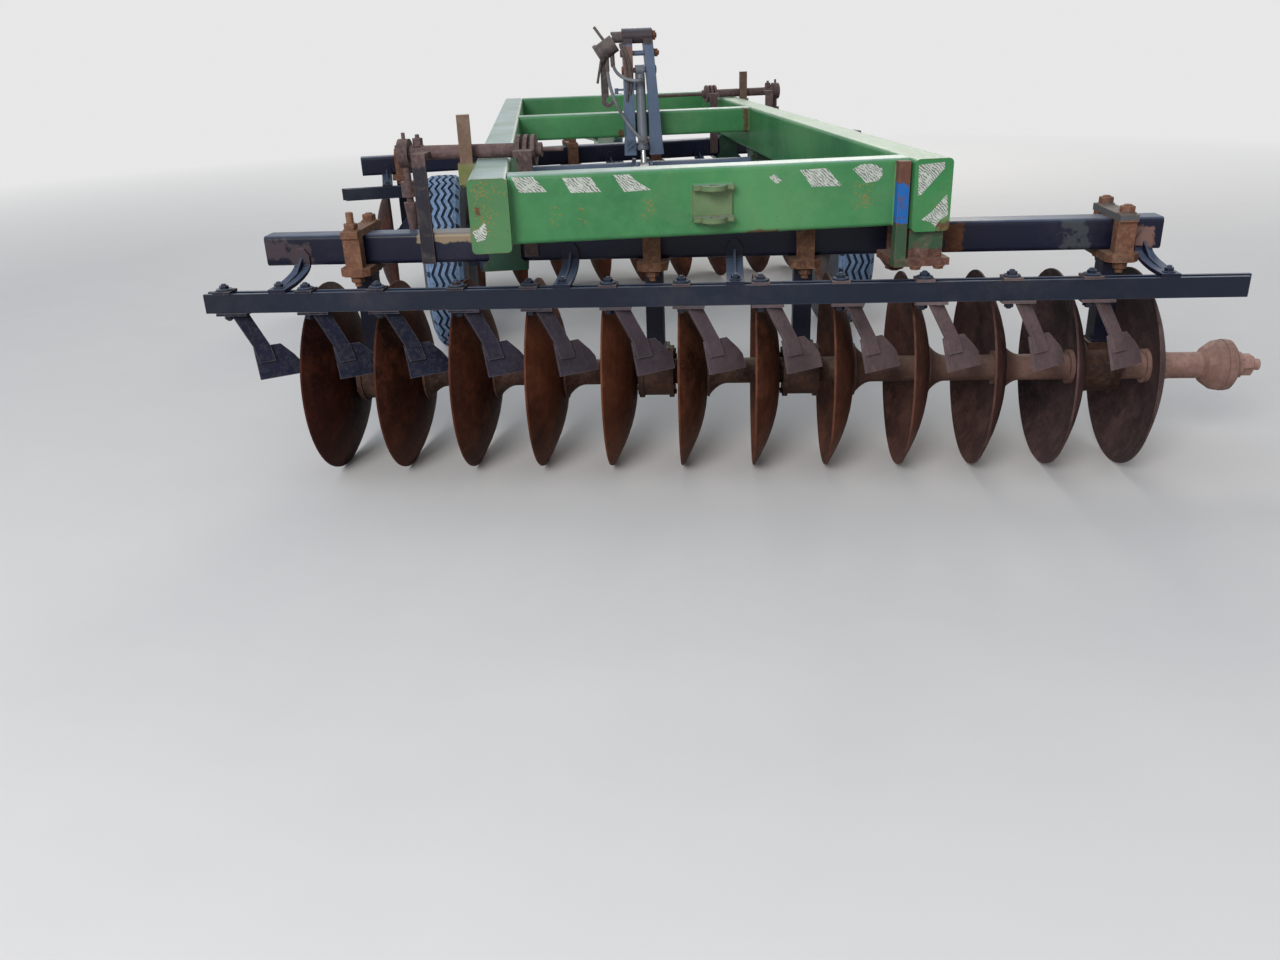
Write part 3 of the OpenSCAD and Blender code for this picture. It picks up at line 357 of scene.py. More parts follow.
def disc_steel(name, shades):
    """A soil-worn disc: rust bloom, dark pits, a little caked soil and a brighter, scoured rim.
    Each shade is (x across the machine, dark, mid, light), and the colour turns from one to the next."""
    n = Paint(name)
    # The colour turns across the machine, darkest on the left, where it is partly painted shade.
    across = n.axes()[0]
    at, *tones = shades[0]
    for x, *others in shades[1:]:
        share = n.span(across, at, x)
        tones = [n.blend(share, tone, other) for tone, other in zip(tones, others)]
        at = x
    dark, mid, light = tones
    bloom = n.noise(11.0, 8.0, 0.7, 0.3)
    fine = n.noise(80.0, 7.0, 0.72)
    colour = n.blend(n.span(n.noise(3.2, 8.0, 0.66, 0.4), 0.36, 0.64), dark, mid)
    colour = n.blend(n.span(bloom, 0.46, 0.70, 0.0, 0.6), colour, light)
    colour = n.blend(n.span(fine, 0.50, 0.74, 0.0, 0.45), colour, light)
    colour = n.blend(n.span(n.cells(60.0), 0.05, 0.25, 0.5, 0.0), colour, dark)
    colour = n.blend(n.span(n.noise(6.0, 9.0, 0.72, 0.3), 0.60, 0.74, 0.0, 0.08), colour, DUST)
    colour = n.blend(n.span(n.edges(0.004), 0.03, 0.3, 0.0, 0.6), colour, light)
    n.bump(n.plus(fine, n.times(bloom, 1.5)), 0.3)
    return n.finish(colour, n.span(fine, 0.3, 0.7, 0.45, 0.80), shine=0.12)


def rubber(name, pale, dark):
    n = Paint(name)
    fine = n.noise(55.0, 6.0, 0.7)
    colour = n.blend(n.span(n.noise(7.0, 7.0, 0.65), 0.30, 0.70), dark, pale)
    n.bump(fine, 0.3)
    return n.finish(colour, n.span(fine, 0.3, 0.7, 0.62, 0.92))


def tyre_rubber(name, tread, groove, flank):
    """Tread in a bluish colour that carries painted sky light on its ribs, with painted shade in its grooves, over
    dusty flanks.
    """
    n = Paint(name)
    fine = n.noise(55.0, 6.0, 0.7)
    dusty = n.span(n.noise(7.0, 7.0, 0.65), 0.30, 0.70)
    x, y, z = n.axes()
    off = n.gap(n.gap(x, MACHINE.x), WHEEL_X)
    ahead = n.minus(y, TYRE_CENTRE.y)
    above = n.minus(z, TYRE_CENTRE.z)
    reach = n.math("SQRT", n.plus(n.times(ahead, ahead), n.times(above, above)))
    crown = None
    for (radius, half), (lower, wider) in zip(CROWN, CROWN[1:]):
        slope = (lower - radius) / (wider - half)
        line = n.plus(n.times(off, slope), radius - slope * half)
        crown = line if crown is None else n.least(crown, line)
    top = n.blend(n.span(fine, 0.32, 0.70, 0.0, 0.55), tread, groove)
    top = n.blend(n.times(dusty, 0.25), top, groove)
    # Painted shade: the grooves' floors take the dark groove colour.
    top = n.blend(n.span(n.minus(crown, reach), 0.0015, 0.0050), top, groove)
    side = n.blend(n.span(dusty, 0.0, 1.0, 0.20, 0.75), groove, flank)
    colour = n.blend(n.span(reach, FLANK_TOP - 0.006, FLANK_TOP + 0.002), side, top)
    n.bump(fine, 0.3)
    return n.finish(colour, n.span(fine, 0.3, 0.7, 0.62, 0.92))


def chromed(name):
    n = Paint(name)
    film = n.noise(22.0, 6.0, 0.65)
    colour = n.blend(n.span(film, 0.5, 0.75, 0.0, 0.45), (0.60, 0.60, 0.61), DUST)
    n.bump(n.noise(180.0, 3.0, 0.5), 0.05)
    return n.finish(colour, n.span(film, 0.4, 0.7, 0.20, 0.50), 0.9)


def hatched(name, white, ink, paint):
    """Worn white marker film with fine slanting lines and holes down to the paint."""
    n = Paint(name)
    x, y, z = n.axes()
    wander = n.times(n.noise(40.0, 3.0, 0.6), 0.030)
    slant = n.plus(n.plus(x, n.times(z, HATCH_SLOPE)), wander)
    wave = n.math("SINE", n.times(slant, HATCH_WAVE))
    lines = n.times(n.span(wave, -0.15, 0.35), n.span(n.noise(75.0, 4.0, 0.65), 0.38, 0.50))
    colour = n.blend(n.times(lines, 0.85), white, ink)
    colour = n.blend(n.span(n.noise(90.0, 7.0, 0.75), 0.60, 0.65), colour, paint)
    n.bump(n.noise(120.0, 3.0, 0.5), 0.1)
    return n.finish(colour, 0.55)


HATCH_SLOPE = 1.1
HATCH_WAVE = 620.0

# The tyres' section as (radius, half width), from the bead out over the flank to the crown.
TYRE_CENTRE = middle("left_tyre")
WHEEL_X = MACHINE.x - TYRE_CENTRE.x
FLANK = (
    (0.191, 0.053), (0.206, 0.066), (0.214, 0.070), (0.225, 0.077), (0.262, 0.097), (0.313, 0.105),
    (0.351, 0.097), (0.381, 0.085),
)
CROWN = ((0.415, 0.000), (0.415, 0.020), (0.412, 0.057), (0.403, 0.071), (0.381, 0.085))
FLANK_TOP = FLANK[-1][0]

# ---- colours
# Paints as (dark, light).
GREEN = ((0.029, 0.160, 0.058), (0.082, 0.315, 0.114))
PITTED_GREEN = ((0.052, 0.158, 0.061), (0.094, 0.250, 0.101))
CLEVIS_GREEN = ((0.060, 0.150, 0.060), (0.160, 0.270, 0.120))
# SHADED_GREEN is the green paint darkened as painted shade.
SHADED_GREEN = ((0.006, 0.032, 0.020), (0.016, 0.066, 0.038))
NAVY = ((0.002, 0.003, 0.014), (0.006, 0.009, 0.036))
RAIL_NAVY = ((0.003, 0.006, 0.018), (0.009, 0.016, 0.036))
SLATE = ((0.062, 0.092, 0.160), (0.135, 0.185, 0.285))
MAST_SLATE = ((0.085, 0.120, 0.200), (0.170, 0.230, 0.350))
BARREL_GREY = ((0.120, 0.135, 0.170), (0.230, 0.250, 0.300))
RIM_GREY = ((0.060, 0.055, 0.055), (0.130, 0.115, 0.105))
# The painted sky sheen on the paints' tops: the colour their upward faces turn towards, standing in for the sky's
# reflection.
SKY_ON_GREEN = (0.46, 0.57, 0.59)
SKY_ON_NAVY = (0.14, 0.19, 0.29)
SKY_ON_RIGHT = (0.34, 0.43, 0.38)
SKY_ON_SLATE = (0.33, 0.40, 0.50)
SKY_ON_BARREL = (0.36, 0.40, 0.46)
# Bare steels as (dark, mid, light).
COUPLING_STEEL = ((0.045, 0.036, 0.040), (0.140, 0.112, 0.106), (0.30, 0.26, 0.24))
BRACKET_STEEL = ((0.050, 0.022, 0.018), (0.140, 0.060, 0.044), (0.30, 0.15, 0.11))
YOKE_STEEL = ((0.048, 0.030, 0.033), (0.130, 0.082, 0.082), (0.26, 0.17, 0.16))
BEARING_IRON = ((0.020, 0.010, 0.009), (0.062, 0.028, 0.020), (0.16, 0.08, 0.05))
ORANGE_RUST = ((0.075, 0.033, 0.022), (0.200, 0.088, 0.054), (0.40, 0.20, 0.11))
POST_STEEL = ((0.080, 0.044, 0.030), (0.165, 0.100, 0.070), (0.27, 0.18, 0.12))
SCRAPER_STEEL = ((0.005, 0.007, 0.018), (0.015, 0.019, 0.044), (0.075, 0.070, 0.085))
SCRAPER_RIGHT = ((0.085, 0.055, 0.056), (0.205, 0.140, 0.142))
AXLE_STEEL = ((0.026, 0.012, 0.010), (0.075, 0.036, 0.026), (0.20, 0.11, 0.08))
AXLE_RIGHT = ((0.270, 0.155, 0.130), (0.560, 0.340, 0.290))
# A lighter navy painted along the rails' edges as a highlight.
NAVY_EDGE_HIGHLIGHT = (0.085, 0.100, 0.135)
# The scrapers' edge colour: worn bright steel and, in part, a painted highlight.
EDGE_STEEL = (0.260, 0.230, 0.230)
# Patches.
BLUE_PAINT = (0.005, 0.150, 0.520)
WEB_GREEN = (0.036, 0.095, 0.050)
SLEEVE_GREEN = (0.170, 0.190, 0.060)
CLAY = (0.300, 0.225, 0.150)
ORANGE_SPLASH = (0.400, 0.150, 0.050)
DARK_PURPLE = (0.055, 0.040, 0.050)
PINK_RUST = (0.230, 0.130, 0.110)
TIE_NAVY = (0.016, 0.017, 0.028)
STONE_GREY = (0.045, 0.055, 0.066)
GREEN_GREY = (0.095, 0.105, 0.115)


def box_patch(x, y, z, ragged, tint):
    """A patch between pairs of the machine's own x, y and z."""
    return (tuple(place(x[0], y[0], z[0])), tuple(place(x[1], y[1], z[1])), ragged, tint)


def gang_patch(x, y, z, ragged, tint):
    """A patch between pairs of the rear gang's own x, y and z."""
    corners = [GANGS["rear"] @ Vector((a, b, 0)) for a in x for b in y]
    low = (min(c.x for c in corners), min(c.y for c in corners), z[0])
    high = (max(c.x for c in corners), max(c.y for c in corners), z[1])
    return (low, high, ragged, tint)


# Each mark is the pairs of x, y and z between which it lies, how ragged it is, and its tint.
REAR_FACE = (0.030, 0.060)
END_FACE = (-0.010, 0.010)
BEAM_FACE = (-0.070, -0.040)
STRAP = ((0.545, 0.590), (0.008, 0.056))
POST_SLEEVE = (0.970, 1.0515)
CROSS_MARKS = [box_patch(*mark) for mark in (
    ((-0.484, -0.446), REAR_FACE, (0.908, 0.972), 0.012, "pits"),
    ((-0.398, -0.370), REAR_FACE, (0.904, 0.968), 0.012, "pits"),
    ((-0.212, -0.166), REAR_FACE, (0.911, 0.982), 0.012, "pits"),
    ((0.428, 0.490), REAR_FACE, (0.911, 0.994), 0.012, "pits"),
    ((0.104, 0.204), (0.040, 0.080), (0.850, 0.871), 0.007, "rust"),
    ((-0.070, -0.052), REAR_FACE, (0.850, 0.925), 0.008, "pits"),
)]
RIGHT_MARKS = [box_patch(*mark) for mark in (
    ((0.655, 0.716), (-0.010, 0.100), (0.840, 0.876), 0.014, "rust"),
    ((0.660, 0.716), (-0.010, 0.020), (0.876, 0.930), 0.014, "pits"),
)]
LEFT_MARKS = [box_patch(*mark) for mark in (
    ((-0.693, -0.672), END_FACE, (0.954, 0.986), 0.008, "rust"),
    ((-0.640, -0.600), END_FACE, (1.004, 1.050), 0.014, "pits"),
    ((-0.700, -0.640), END_FACE, (0.900, 1.050), 0.024, "pits"),
)]
MID_MARKS = [box_patch(*mark) for mark in (
    ((0.556, 0.600), (2.560, 2.600), (0.925, 1.056), 0.018, "rust"),
    ((-0.090, -0.046), (2.560, 2.600), (0.930, 0.978), 0.014, "rust"),
)]
REAR_BEAM_MARKS = [gang_patch(*mark) for mark in (
    ((0.738, 0.794), BEAM_FACE, (0.730, 0.828), 0.010, "rust"),
    ((-1.530, -1.445), BEAM_FACE, (0.750, 0.826), 0.020, DARK_PURPLE),
    ((-1.000, -0.760), (-0.047, 0.060), (0.800, 0.870), 0.010, CLAY),
    ((1.100, 1.190), BEAM_FACE, (0.738, 0.830), 0.030, STONE_GREY),
    ((1.325, 1.395), (-0.130, -0.040), (0.745, 0.810), 0.014, PINK_RUST),
    ((-1.435, -1.365), (-0.130, -0.040), (0.735, 0.810), 0.014, DARK_PURPLE),
)]
CLAMP_MARKS = [gang_patch((1.240, 1.330), (-0.140, 0.140), (0.834, 0.862), 0.008, GREEN_GREY)]
BRACKET_MARKS = [box_patch(*mark) for mark in (
    (*STRAP, (0.740, 0.872), 0.004, WEB_GREEN),
    (*STRAP, (0.872, 0.992), 0.008, BLUE_PAINT),
    ((0.590, 0.710), (0.020, 0.060), (0.790, 0.850), 0.014, WEB_GREEN),
)]
YOKE_MARKS = [gang_patch((-0.990, -0.930), (-0.070, -0.046), (0.720, 1.050), 0.010, TIE_NAVY)]
POST_MARKS = [box_patch(*mark) for mark in (
    ((-0.780, -0.690), (0.480, 0.580), POST_SLEEVE, 0.004, SLEEVE_GREEN),
    ((0.690, 0.780), (3.400, 3.700), POST_SLEEVE, 0.004, SLEEVE_GREEN),
)]
MAST_MARKS = [box_patch(*mark) for mark in (
    ((-0.080, 0.120), (2.380, 2.560), (1.374, 1.470), 0.010, DARK_PURPLE),
    ((-0.080, 0.000), (2.400, 2.560), (1.215, 1.374), 0.020, PINK_RUST),
)]
SCRAPER_MARKS = [gang_patch((0.505, 0.600), (-0.380, -0.300), (0.400, 0.560), 0.010, ORANGE_SPLASH)]

# Darker towards the left: the leftmost discs' near-black tones are partly the steel's own tone and partly painted
# shade.
DISC_SHADES = (
    (-1.30, (0.008, 0.003, 0.003), (0.044, 0.012, 0.009), (0.110, 0.030, 0.016)),
    (-0.30, (0.036, 0.012, 0.007), (0.130, 0.042, 0.022), (0.280, 0.095, 0.044)),
    (0.40, (0.034, 0.014, 0.010), (0.125, 0.045, 0.028), (0.260, 0.100, 0.055)),
    (1.20, (0.020, 0.012, 0.013), (0.085, 0.048, 0.050), (0.190, 0.115, 0.105)),
)

# After the colours, a paint has where its rust starts, how worn its edges are, how dense the painted sky sheen
# on its tops is and how rough it is; a bare steel has how metallic it is and how much soil is on it.
MATERIALS = {
    "green": painted("green_paint", *GREEN, SKY_ON_GREEN, 0.690, 0.12, 0.62, speckle=0.7),
    "green_rear": painted(
        "green_paint_rear", *GREEN, SKY_ON_GREEN, 0.700, 0.12, 0.80, speckle=0.5, patches=CROSS_MARKS,
    ),
    "green_mid": painted(
        "green_paint_middle", *GREEN, SKY_ON_GREEN, 0.690, 0.12, 0.62, speckle=0.6, patches=MID_MARKS,
    ),
    "green_right": painted(
        "green_paint_marked", *GREEN, SKY_ON_RIGHT, 0.690, 0.12, 0.62,
        speckle=0.6, patches=RIGHT_MARKS, shine=0.15,
    ),
    "green_left": painted(
        "green_paint_pitted", *PITTED_GREEN, SKY_ON_GREEN, 0.650, 0.16, 0.92, speckle=1.0, patches=LEFT_MARKS,
    ),
    # Painted shade: the keepers and the shaft bearings under the frame take a darkened copy of the green paint.
    "green_dark": painted("green_paint_shaded", *SHADED_GREEN, SKY_ON_GREEN, 0.620, 0.14, 0.30),
    "clevis": painted("green_paint_clevis", *CLEVIS_GREEN, SKY_ON_GREEN, 0.600, 0.30, 0.60, grime=0.3),
    "navy": painted("navy_paint", *NAVY, SKY_ON_NAVY, 0.660, 0.10, 0.70, 0.40, grime=0.05, shine=0.3),
    "navy_rear": painted(
        "navy_paint_marked", *NAVY, SKY_ON_NAVY, 0.680, 0.10, 0.80, 0.40,
        patches=REAR_BEAM_MARKS, grime=0.05, shine=0.3,
    ),
    "rail": painted(
        "navy_paint_rails", *RAIL_NAVY, SKY_ON_NAVY, 0.690, 0.06, 0.70, 0.34,
        grime=0.06, shine=0.3, edging=NAVY_EDGE_HIGHLIGHT,
    ),
    "slate": painted("slate_paint", *SLATE, SKY_ON_SLATE, 0.680, 0.10, 0.40, 0.48),
    "mast": painted(
        "slate_paint_mast", *MAST_SLATE, SKY_ON_SLATE, 0.680, 0.10, 0.40, 0.48, patches=MAST_MARKS,
    ),
    "barrel": painted("slate_paint_barrel", *BARREL_GREY, SKY_ON_BARREL, 0.660, 0.12, 0.40, 0.42),
    "rim": painted("rim_paint", *RIM_GREY, SKY_ON_NAVY, 0.520, 0.20, 0.3, 0.55),
    "coupling": rusted("coupling_steel", *COUPLING_STEEL, 0.2, 0.20),
    "rust": rusted("rusty_steel", RUST_DARK, RUST_MID, RUST_LIGHT),
    "bracket": rusted("bracket_steel", *BRACKET_STEEL, patches=BRACKET_MARKS),
    "yoke": rusted("yoke_steel", *YOKE_STEEL, 0.0, 0.22, patches=YOKE_MARKS),
    "bearing": rusted("bearing_housings", *BEARING_IRON, soil=0.15),
    "clamp": rusted("orange_rust", *ORANGE_RUST, 0.0, 0.20, patches=CLAMP_MARKS),
    "post": rusted("stop_post_steel", *POST_STEEL, patches=POST_MARKS),
    "scraper": rusted(
        "scraper_steel", *SCRAPER_STEEL, 0.0, 0.03, along=(-0.9, 0.7), second=SCRAPER_RIGHT,
        patches=SCRAPER_MARKS, shine=0.15, edging=EDGE_STEEL,
    ),
    "axle": rusted("axle_steel", *AXLE_STEEL, 0.1, 0.25, along=(0.4, 1.6), second=AXLE_RIGHT),
    "disc": disc_steel("disc_steel", DISC_SHADES),
    # The tyre's bluish tread colour is painted sky light on grey rubber; its dark groove colour is painted shade,
    # and it is also the flanks' dark tone.
    "tyre": tyre_rubber("tyre_rubber", (0.260, 0.400, 0.640), (0.016, 0.028, 0.058), (0.150, 0.150, 0.150)),
    "hose": rubber("hose_rubber", (0.270, 0.280, 0.300), (0.110, 0.115, 0.125)),
    "chrome": chromed("rod_chrome"),
    "film": hatched("marker_film", (0.60, 0.63, 0.58), (0.070, 0.120, 0.090), (0.13, 0.24, 0.14)),
}
# The finishes of each of the record's slots.
SLOTS = {
    "green_paint": "green green_rear green_mid green_right green_left green_dark clevis film",
    "navy_paint": "navy navy_rear rail barrel",
    "slate_paint": "slate mast coupling",
    "rusty_steel": "rust bracket yoke bearing clamp post scraper rim",
    "disc_steel": "disc axle",
    "tyre_rubber": "tyre",
    "hose_rubber": "hose",
    "rod_chrome": "chrome",
}
RECORD_SLOT = {finish: slot for slot, finishes in SLOTS.items() for finish in finishes.split()}

# The CAD nodes of each finish; the other nodes are plain green.
FINISH = {
    "green_rear": "rear_cross_beam",
    "green_mid": "mid_cross_beam",
    "green_right": "side_beam_right",
    "green_left": "side_beam_left",
    "green_dark": "rear_keeper front_keeper shaft_bearings",
    "clevis": "rear_clevis",
    "navy": "front_gang_beam rear_hangers front_hangers front_rail_hangers",
    "navy_rear": "rear_gang_beam rear_rail_hangers",
    "rail": "rear_scraper_rails front_scraper_rails",
    "slate": "jack_tube rock_shaft wheel_arms lift_lever",
    "mast": "mast",
    "barrel": "cylinder_barrel",
    "coupling": "hose_couplings",
    "rust": "hitch_head jack_leg",
    "bracket": "rear_pivot_bracket front_pivot_bracket",
    "yoke": "rear_yoke front_yoke",
    "bearing": "rear_bearings front_bearings",
    "clamp": "rear_beam_clamps front_beam_clamps",
    "post": "rear_stop_post front_stop_post",
    "scraper": "rear_scrapers front_scrapers",
    "disc": "rear_discs front_discs",
    "axle": "rear_axle front_axle",
    "rim": "left_rim right_rim",
    "chrome": "cylinder_rod",
}
NODE_FINISH = {node: finish for finish, nodes in FINISH.items() for node in nodes.split()}

for node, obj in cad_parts.items():
    obj.data.materials.clear()
    obj.data.materials.append(MATERIALS[NODE_FINISH.get(node, "green")])


# ---- mesh helpers
WELD_STEP = 0.005
WELD_THIN = (0.75, 0.9)
WELD_THICK = (1.0, 1.2)
WELD_RIPPLE = random.Random(11)
THREAD_DEPTH = 0.0011
SQUARE = ((-1, -1), (1, -1), (1, 1), (-1, 1))


def around(base, height, radius, turn):
    """A point at a height along base's Z axis, at a radius and an angle round it."""
    return base @ Vector((radius * math.cos(turn), radius * math.sin(turn), height))


class Shape:
    """The mesh of one piece, put together from turned, swept and extruded forms."""

    def __init__(self):
        self.mesh = bmesh.new()

    def loft(self, rings, loop=False):
        """Joins rings of points, each closed in itself. A loop joins the last ring to the first,
        and otherwise both ends are capped."""
        made = [[self.mesh.verts.new(point) for point in ring] for ring in rings]
        count = len(made[0])
        pairs = list(zip(made, made[1:]))
        if loop:
            pairs.append((made[-1], made[0]))
        for near, far in pairs:
            for k in range(count):
                after = (k + 1) % count
                self.mesh.faces.new((near[k], near[after], far[after], far[k]))
        if not loop:
            self.mesh.faces.new(made[0][::-1])
            self.mesh.faces.new(made[-1])

    def turned(self, base, profile, sides=24, phase=0.0):
        """A solid turned about base's Z axis, from (height, radius) pairs."""
        rings = []
        for height, radius in profile:
            turns = [2 * math.pi * (k + phase) / sides for k in range(sides)]
            rings.append([around(base, height, radius, turn) for turn in turns])
        self.loft(rings)

    def swept(self, points, radii, sides=8):
        """A tube along points, with a radius at each."""
        rings = []
        side = Vector((0, 0, 1))
        for k, point in enumerate(points):
            way = (points[min(k + 1, len(points) - 1)] - points[max(k - 1, 0)]).normalized()
            if abs(way.dot(side)) > 0.98:
                side = Vector((1, 0, 0))
            across = way.cross(side).normalized()
            side = across.cross(way).normalized()
            turns = [2 * math.pi * j / sides for j in range(sides)]
            rings.append([point + radii[k] * (math.cos(a) * across + math.sin(a) * side) for a in turns])
        self.loft(rings)

    def hoop(self, base, section, sides=24):
        """A ring about base's Z axis, from a closed section of (height, radius) pairs."""
        rings = []
        for k in range(sides):
            turn = 2 * math.pi * k / sides
            rings.append([around(base, height, radius, turn) for height, radius in section])
        self.loft(rings, loop=True)

    def weld(self, start, end, radius=0.004):
        """A weld bead: a thin bar whose thickness swells and shrinks with each step of the weld."""
        steps = max(3, round((end - start).length / WELD_STEP))
        points = [start.lerp(end, k / steps) for k in range(steps + 1)]
        radii = [radius * WELD_RIPPLE.uniform(*(WELD_THIN if k % 2 else WELD_THICK)) for k in range(steps + 1)]
        self.swept(points, radii, 6)

    def piece(self, name, body, finish, crease=math.radians(34)):
        bmesh.ops.recalc_face_normals(self.mesh, faces=self.mesh.faces)
        for face in self.mesh.faces:
            face.smooth = True
        for edge in self.mesh.edges:
            edge.smooth = edge.calc_face_angle(0.0) < crease
        data = bpy.data.meshes.new(name)
        self.mesh.to_mesh(data)
        self.mesh.free()
        data.materials.append(MATERIALS[finish])
        obj = bpy.data.objects.new(name, data)
        bpy.context.collection.objects.link(obj)
        if body:
            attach(obj, body)
        return obj


def standing(point, axis=(0, 0, 1)):
    """A frame at point whose Z lies along axis."""
    turn = Vector(axis).to_track_quat("Z", "Y").to_matrix().to_4x4()
    return Matrix.Translation(point) @ turn


def crosswise(x, y, z, side):
    """A frame at a point of the machine's own whose Z points to a side."""
    return standing(place(x, y, z), (side, 0, 0))


def spoke(radius, turn):
    """From a crosswise axle out to a radius, at an angle from the direction of travel."""
    return radius * Vector((0, math.cos(turn), math.sin(turn)))


def extruded(shape, outline, near, far):
    """Fills an outline of the machine's own (x, z) from one y to another."""
    shape.loft([[place(x, y, z) for x, z in outline] for y in (near, far)])


def hex_nut(shape, base, start, width, height, phase=0.0):
    """A hexagon across whose corners the width is measured, with chamfered ends."""
    r = width / 2
    cut = 0.10 * r
    profile = [(start, r - cut), (start + cut, r), (start + height - cut, r), (start + height, r - cut)]
    shape.turned(base, profile, 6, phase)


def stud(shape, base, start, diameter, length, pitch=0.003):
    """A threaded end: rings that rise and fall by a thread's depth."""
    r = diameter / 2
    steps = max(2, round(length / pitch * 2))
    profile = [(start + length * k / steps, r if k % 2 else r - THREAD_DEPTH) for k in range(steps + 1)]
    profile.append((start + length + 0.0015, r - 0.0030))
    shape.turned(base, profile, 16)


def bolt(shape, base, width, height, washer=0.0, over=0.0, shank=0.0, phase=0.0):
    """A nut or head on a washer, with a threaded end standing out of it."""
    lift = 0.0
    if washer:
        lift = 0.004
        shape.turned(base, [(0.0, washer / 2), (lift - 0.001, washer / 2), (lift, washer / 2 - 0.001)], 28)
    hex_nut(shape, base, lift, width, height, phase)
    if over:
        stud(shape, base, lift + height - 0.002, shank, over + 0.002)


# ---- bolts and nuts
# Width over the corners, height, washer, how far the end stands out, shank.
CLAMP_BOLT = (0.046, 0.020, 0.056, 0.003, 0.026)
TALL_CLAMP_BOLT = (0.046, 0.020, 0.056, 0.034, 0.026)
CLAMP_NUT = (0.044, 0.019, 0.054, 0.012, 0.024)
SCRAPER_BOLT = (0.032, 0.012, 0.038, 0.004, 0.018)
HANGER_BOLT = (0.030, 0.011, 0.038, 0.005, 0.016)
WHEEL_BOLT = (0.030, 0.014, 0.034, 0.008, 0.016)
STUB_NUT = (0.062, 0.020, 0.074, 0.006, 0.036)
MAST_BOLT = (0.042, 0.018, 0.046, 0.006, 0.024)
KNUCKLE_BOLT = (0.050, 0.014, 0.058, 0.005, 0.026)
JAW_HEAD = (0.034, 0.008, 0.040, 0.0, 0.0)
JAW_NUT = (0.038, 0.018, 0.044, 0.008, 0.022)
YOKE_BOLT = (0.034, 0.022, 0.038, 0.010, 0.016)
# Nuts and heads without a washer: where one starts above its seat, width over the corners, height.
SCRAPER_NUT = (0.004, 0.031, 0.012)
LIP_BOLT = (-0.001, 0.020, 0.009)
MAST_NUT = (0.0, 0.040, 0.013)
PIVOT_BOLT = (0.0, 0.021, 0.012)
FOOT_NUT = (0.0, 0.022, 0.012)
# Threaded ends: where one starts, diameter, length.
SCRAPER_STUD = (0.014, 0.018, 0.006)
PIVOT_STUD = (-0.002, 0.034, 0.007)
YOKE_STUD = (0.0, 0.014, 0.022)
# A washer with a chamfer, as (height, radius).
SCRAPER_WASHER = ((0.0, 0.026), (0.004, 0.026), (0.006, 0.024), (0.006, 0.019))

# ---- the gangs' bolts, ribs and nuts
DISC_COUNT = 12
DISC_PITCH = 0.248
# Where the bearings lie past the discs they hang beside.
HOUSING_ALONG = 0.163
BEARING_DISCS = (0, 4, 6, 10)
BEAM_TOP = 0.833
BEAM_LOW = 0.733
BAR_Y = -0.280
RAIL_TOP = 0.696


def disc_along(i):
    return (i - (DISC_COUNT - 1) / 2) * DISC_PITCH


BEARINGS_ALONG = [disc_along(i) + HOUSING_ALONG for i in BEARING_DISCS]


def on_gang(axes, x, y, z, down=False):
    """A frame at a gang's own point whose Z points up, or down."""
    return standing(axes @ Vector((x, y, z)), (0, 0, -1 if down else 1))


def along_gang(axes, x, y, z, side=1):
    """A frame at a gang's own point whose Z points along its axle, or against it."""
    return standing(axes @ Vector((x, y, z)), axes.to_3x3() @ Vector((side, 0, 0)))


# Bolts of the beam clamps: heads above the top plate, nuts below the foot plate.
CLAMP_BOLT_Y = 0.098
CLAMP_TOP = BEAM_TOP + 0.022
CLAMP_LOW = BEAM_LOW - 0.026


def clamp_bolts(gang, axes):
    heads = Shape()
    for number, x in enumerate(BEARINGS_ALONG):
        for side in (-1, 1):
            tall = number == 0 and side < 0
            top = on_gang(axes, x, side * CLAMP_BOLT_Y, CLAMP_TOP)
            bolt(heads, top, *(TALL_CLAMP_BOLT if tall else CLAMP_BOLT), number * 0.13)
            low = on_gang(axes, x, side * CLAMP_BOLT_Y, CLAMP_LOW, down=True)
            bolt(heads, low, *CLAMP_NUT, number * 0.21)
    heads.piece(gang + "_clamp_bolts", gang + "_gang", "clamp")


# Nuts of the scrapers and of the rail hangers' feet on the rails.
CLAMP_SHIFT = (0.218, 0.197, 0.211, 0.201, 0.216, 0.214, 0.232, 0.234, 0.237, 0.231, 0.218, 0.230)
SCRAPER_TOP = RAIL_TOP + 0.008
SCRAPER_LOW = RAIL_TOP - 0.062 - 0.008
RAIL_HANGER_X = (-1.400, -0.482, 0.060, 1.359)
HANGER_FOOT = RAIL_TOP + 0.012


def scraper_bolts(gang, axes):
    nuts = Shape()
    for i in range(DISC_COUNT):
        x = disc_along(i) - CLAMP_SHIFT[i]
        top = on_gang(axes, x, BAR_Y, SCRAPER_TOP)
        nuts.turned(top, SCRAPER_WASHER, 28)
        hex_nut(nuts, top, *SCRAPER_NUT, i * 0.17)
        stud(nuts, top, *SCRAPER_STUD)
        low = on_gang(axes, x, BAR_Y, SCRAPER_LOW, down=True)
        bolt(nuts, low, *SCRAPER_BOLT, i * 0.29)
    nuts.piece(gang + "_scraper_nuts", gang + "_gang", "rail")


def hanger_bolts(gang, axes):
    nuts = Shape()
    for number, x in enumerate(RAIL_HANGER_X):
        bolt(nuts, on_gang(axes, x, BAR_Y, HANGER_FOOT), *HANGER_BOLT, number * 0.3)
    nuts.piece(gang + "_hanger_bolts", gang + "_gang", "rail")


# A thin rib in the bend of each rail hanger.
RIB_T = 0.008
RIB_OUTLINE = (
    (-0.062, 0.762), (-0.066, 0.760), (-0.130, 0.722), (-0.235, 0.7085), (-0.235, 0.7065), (-0.062, 0.7065),
)


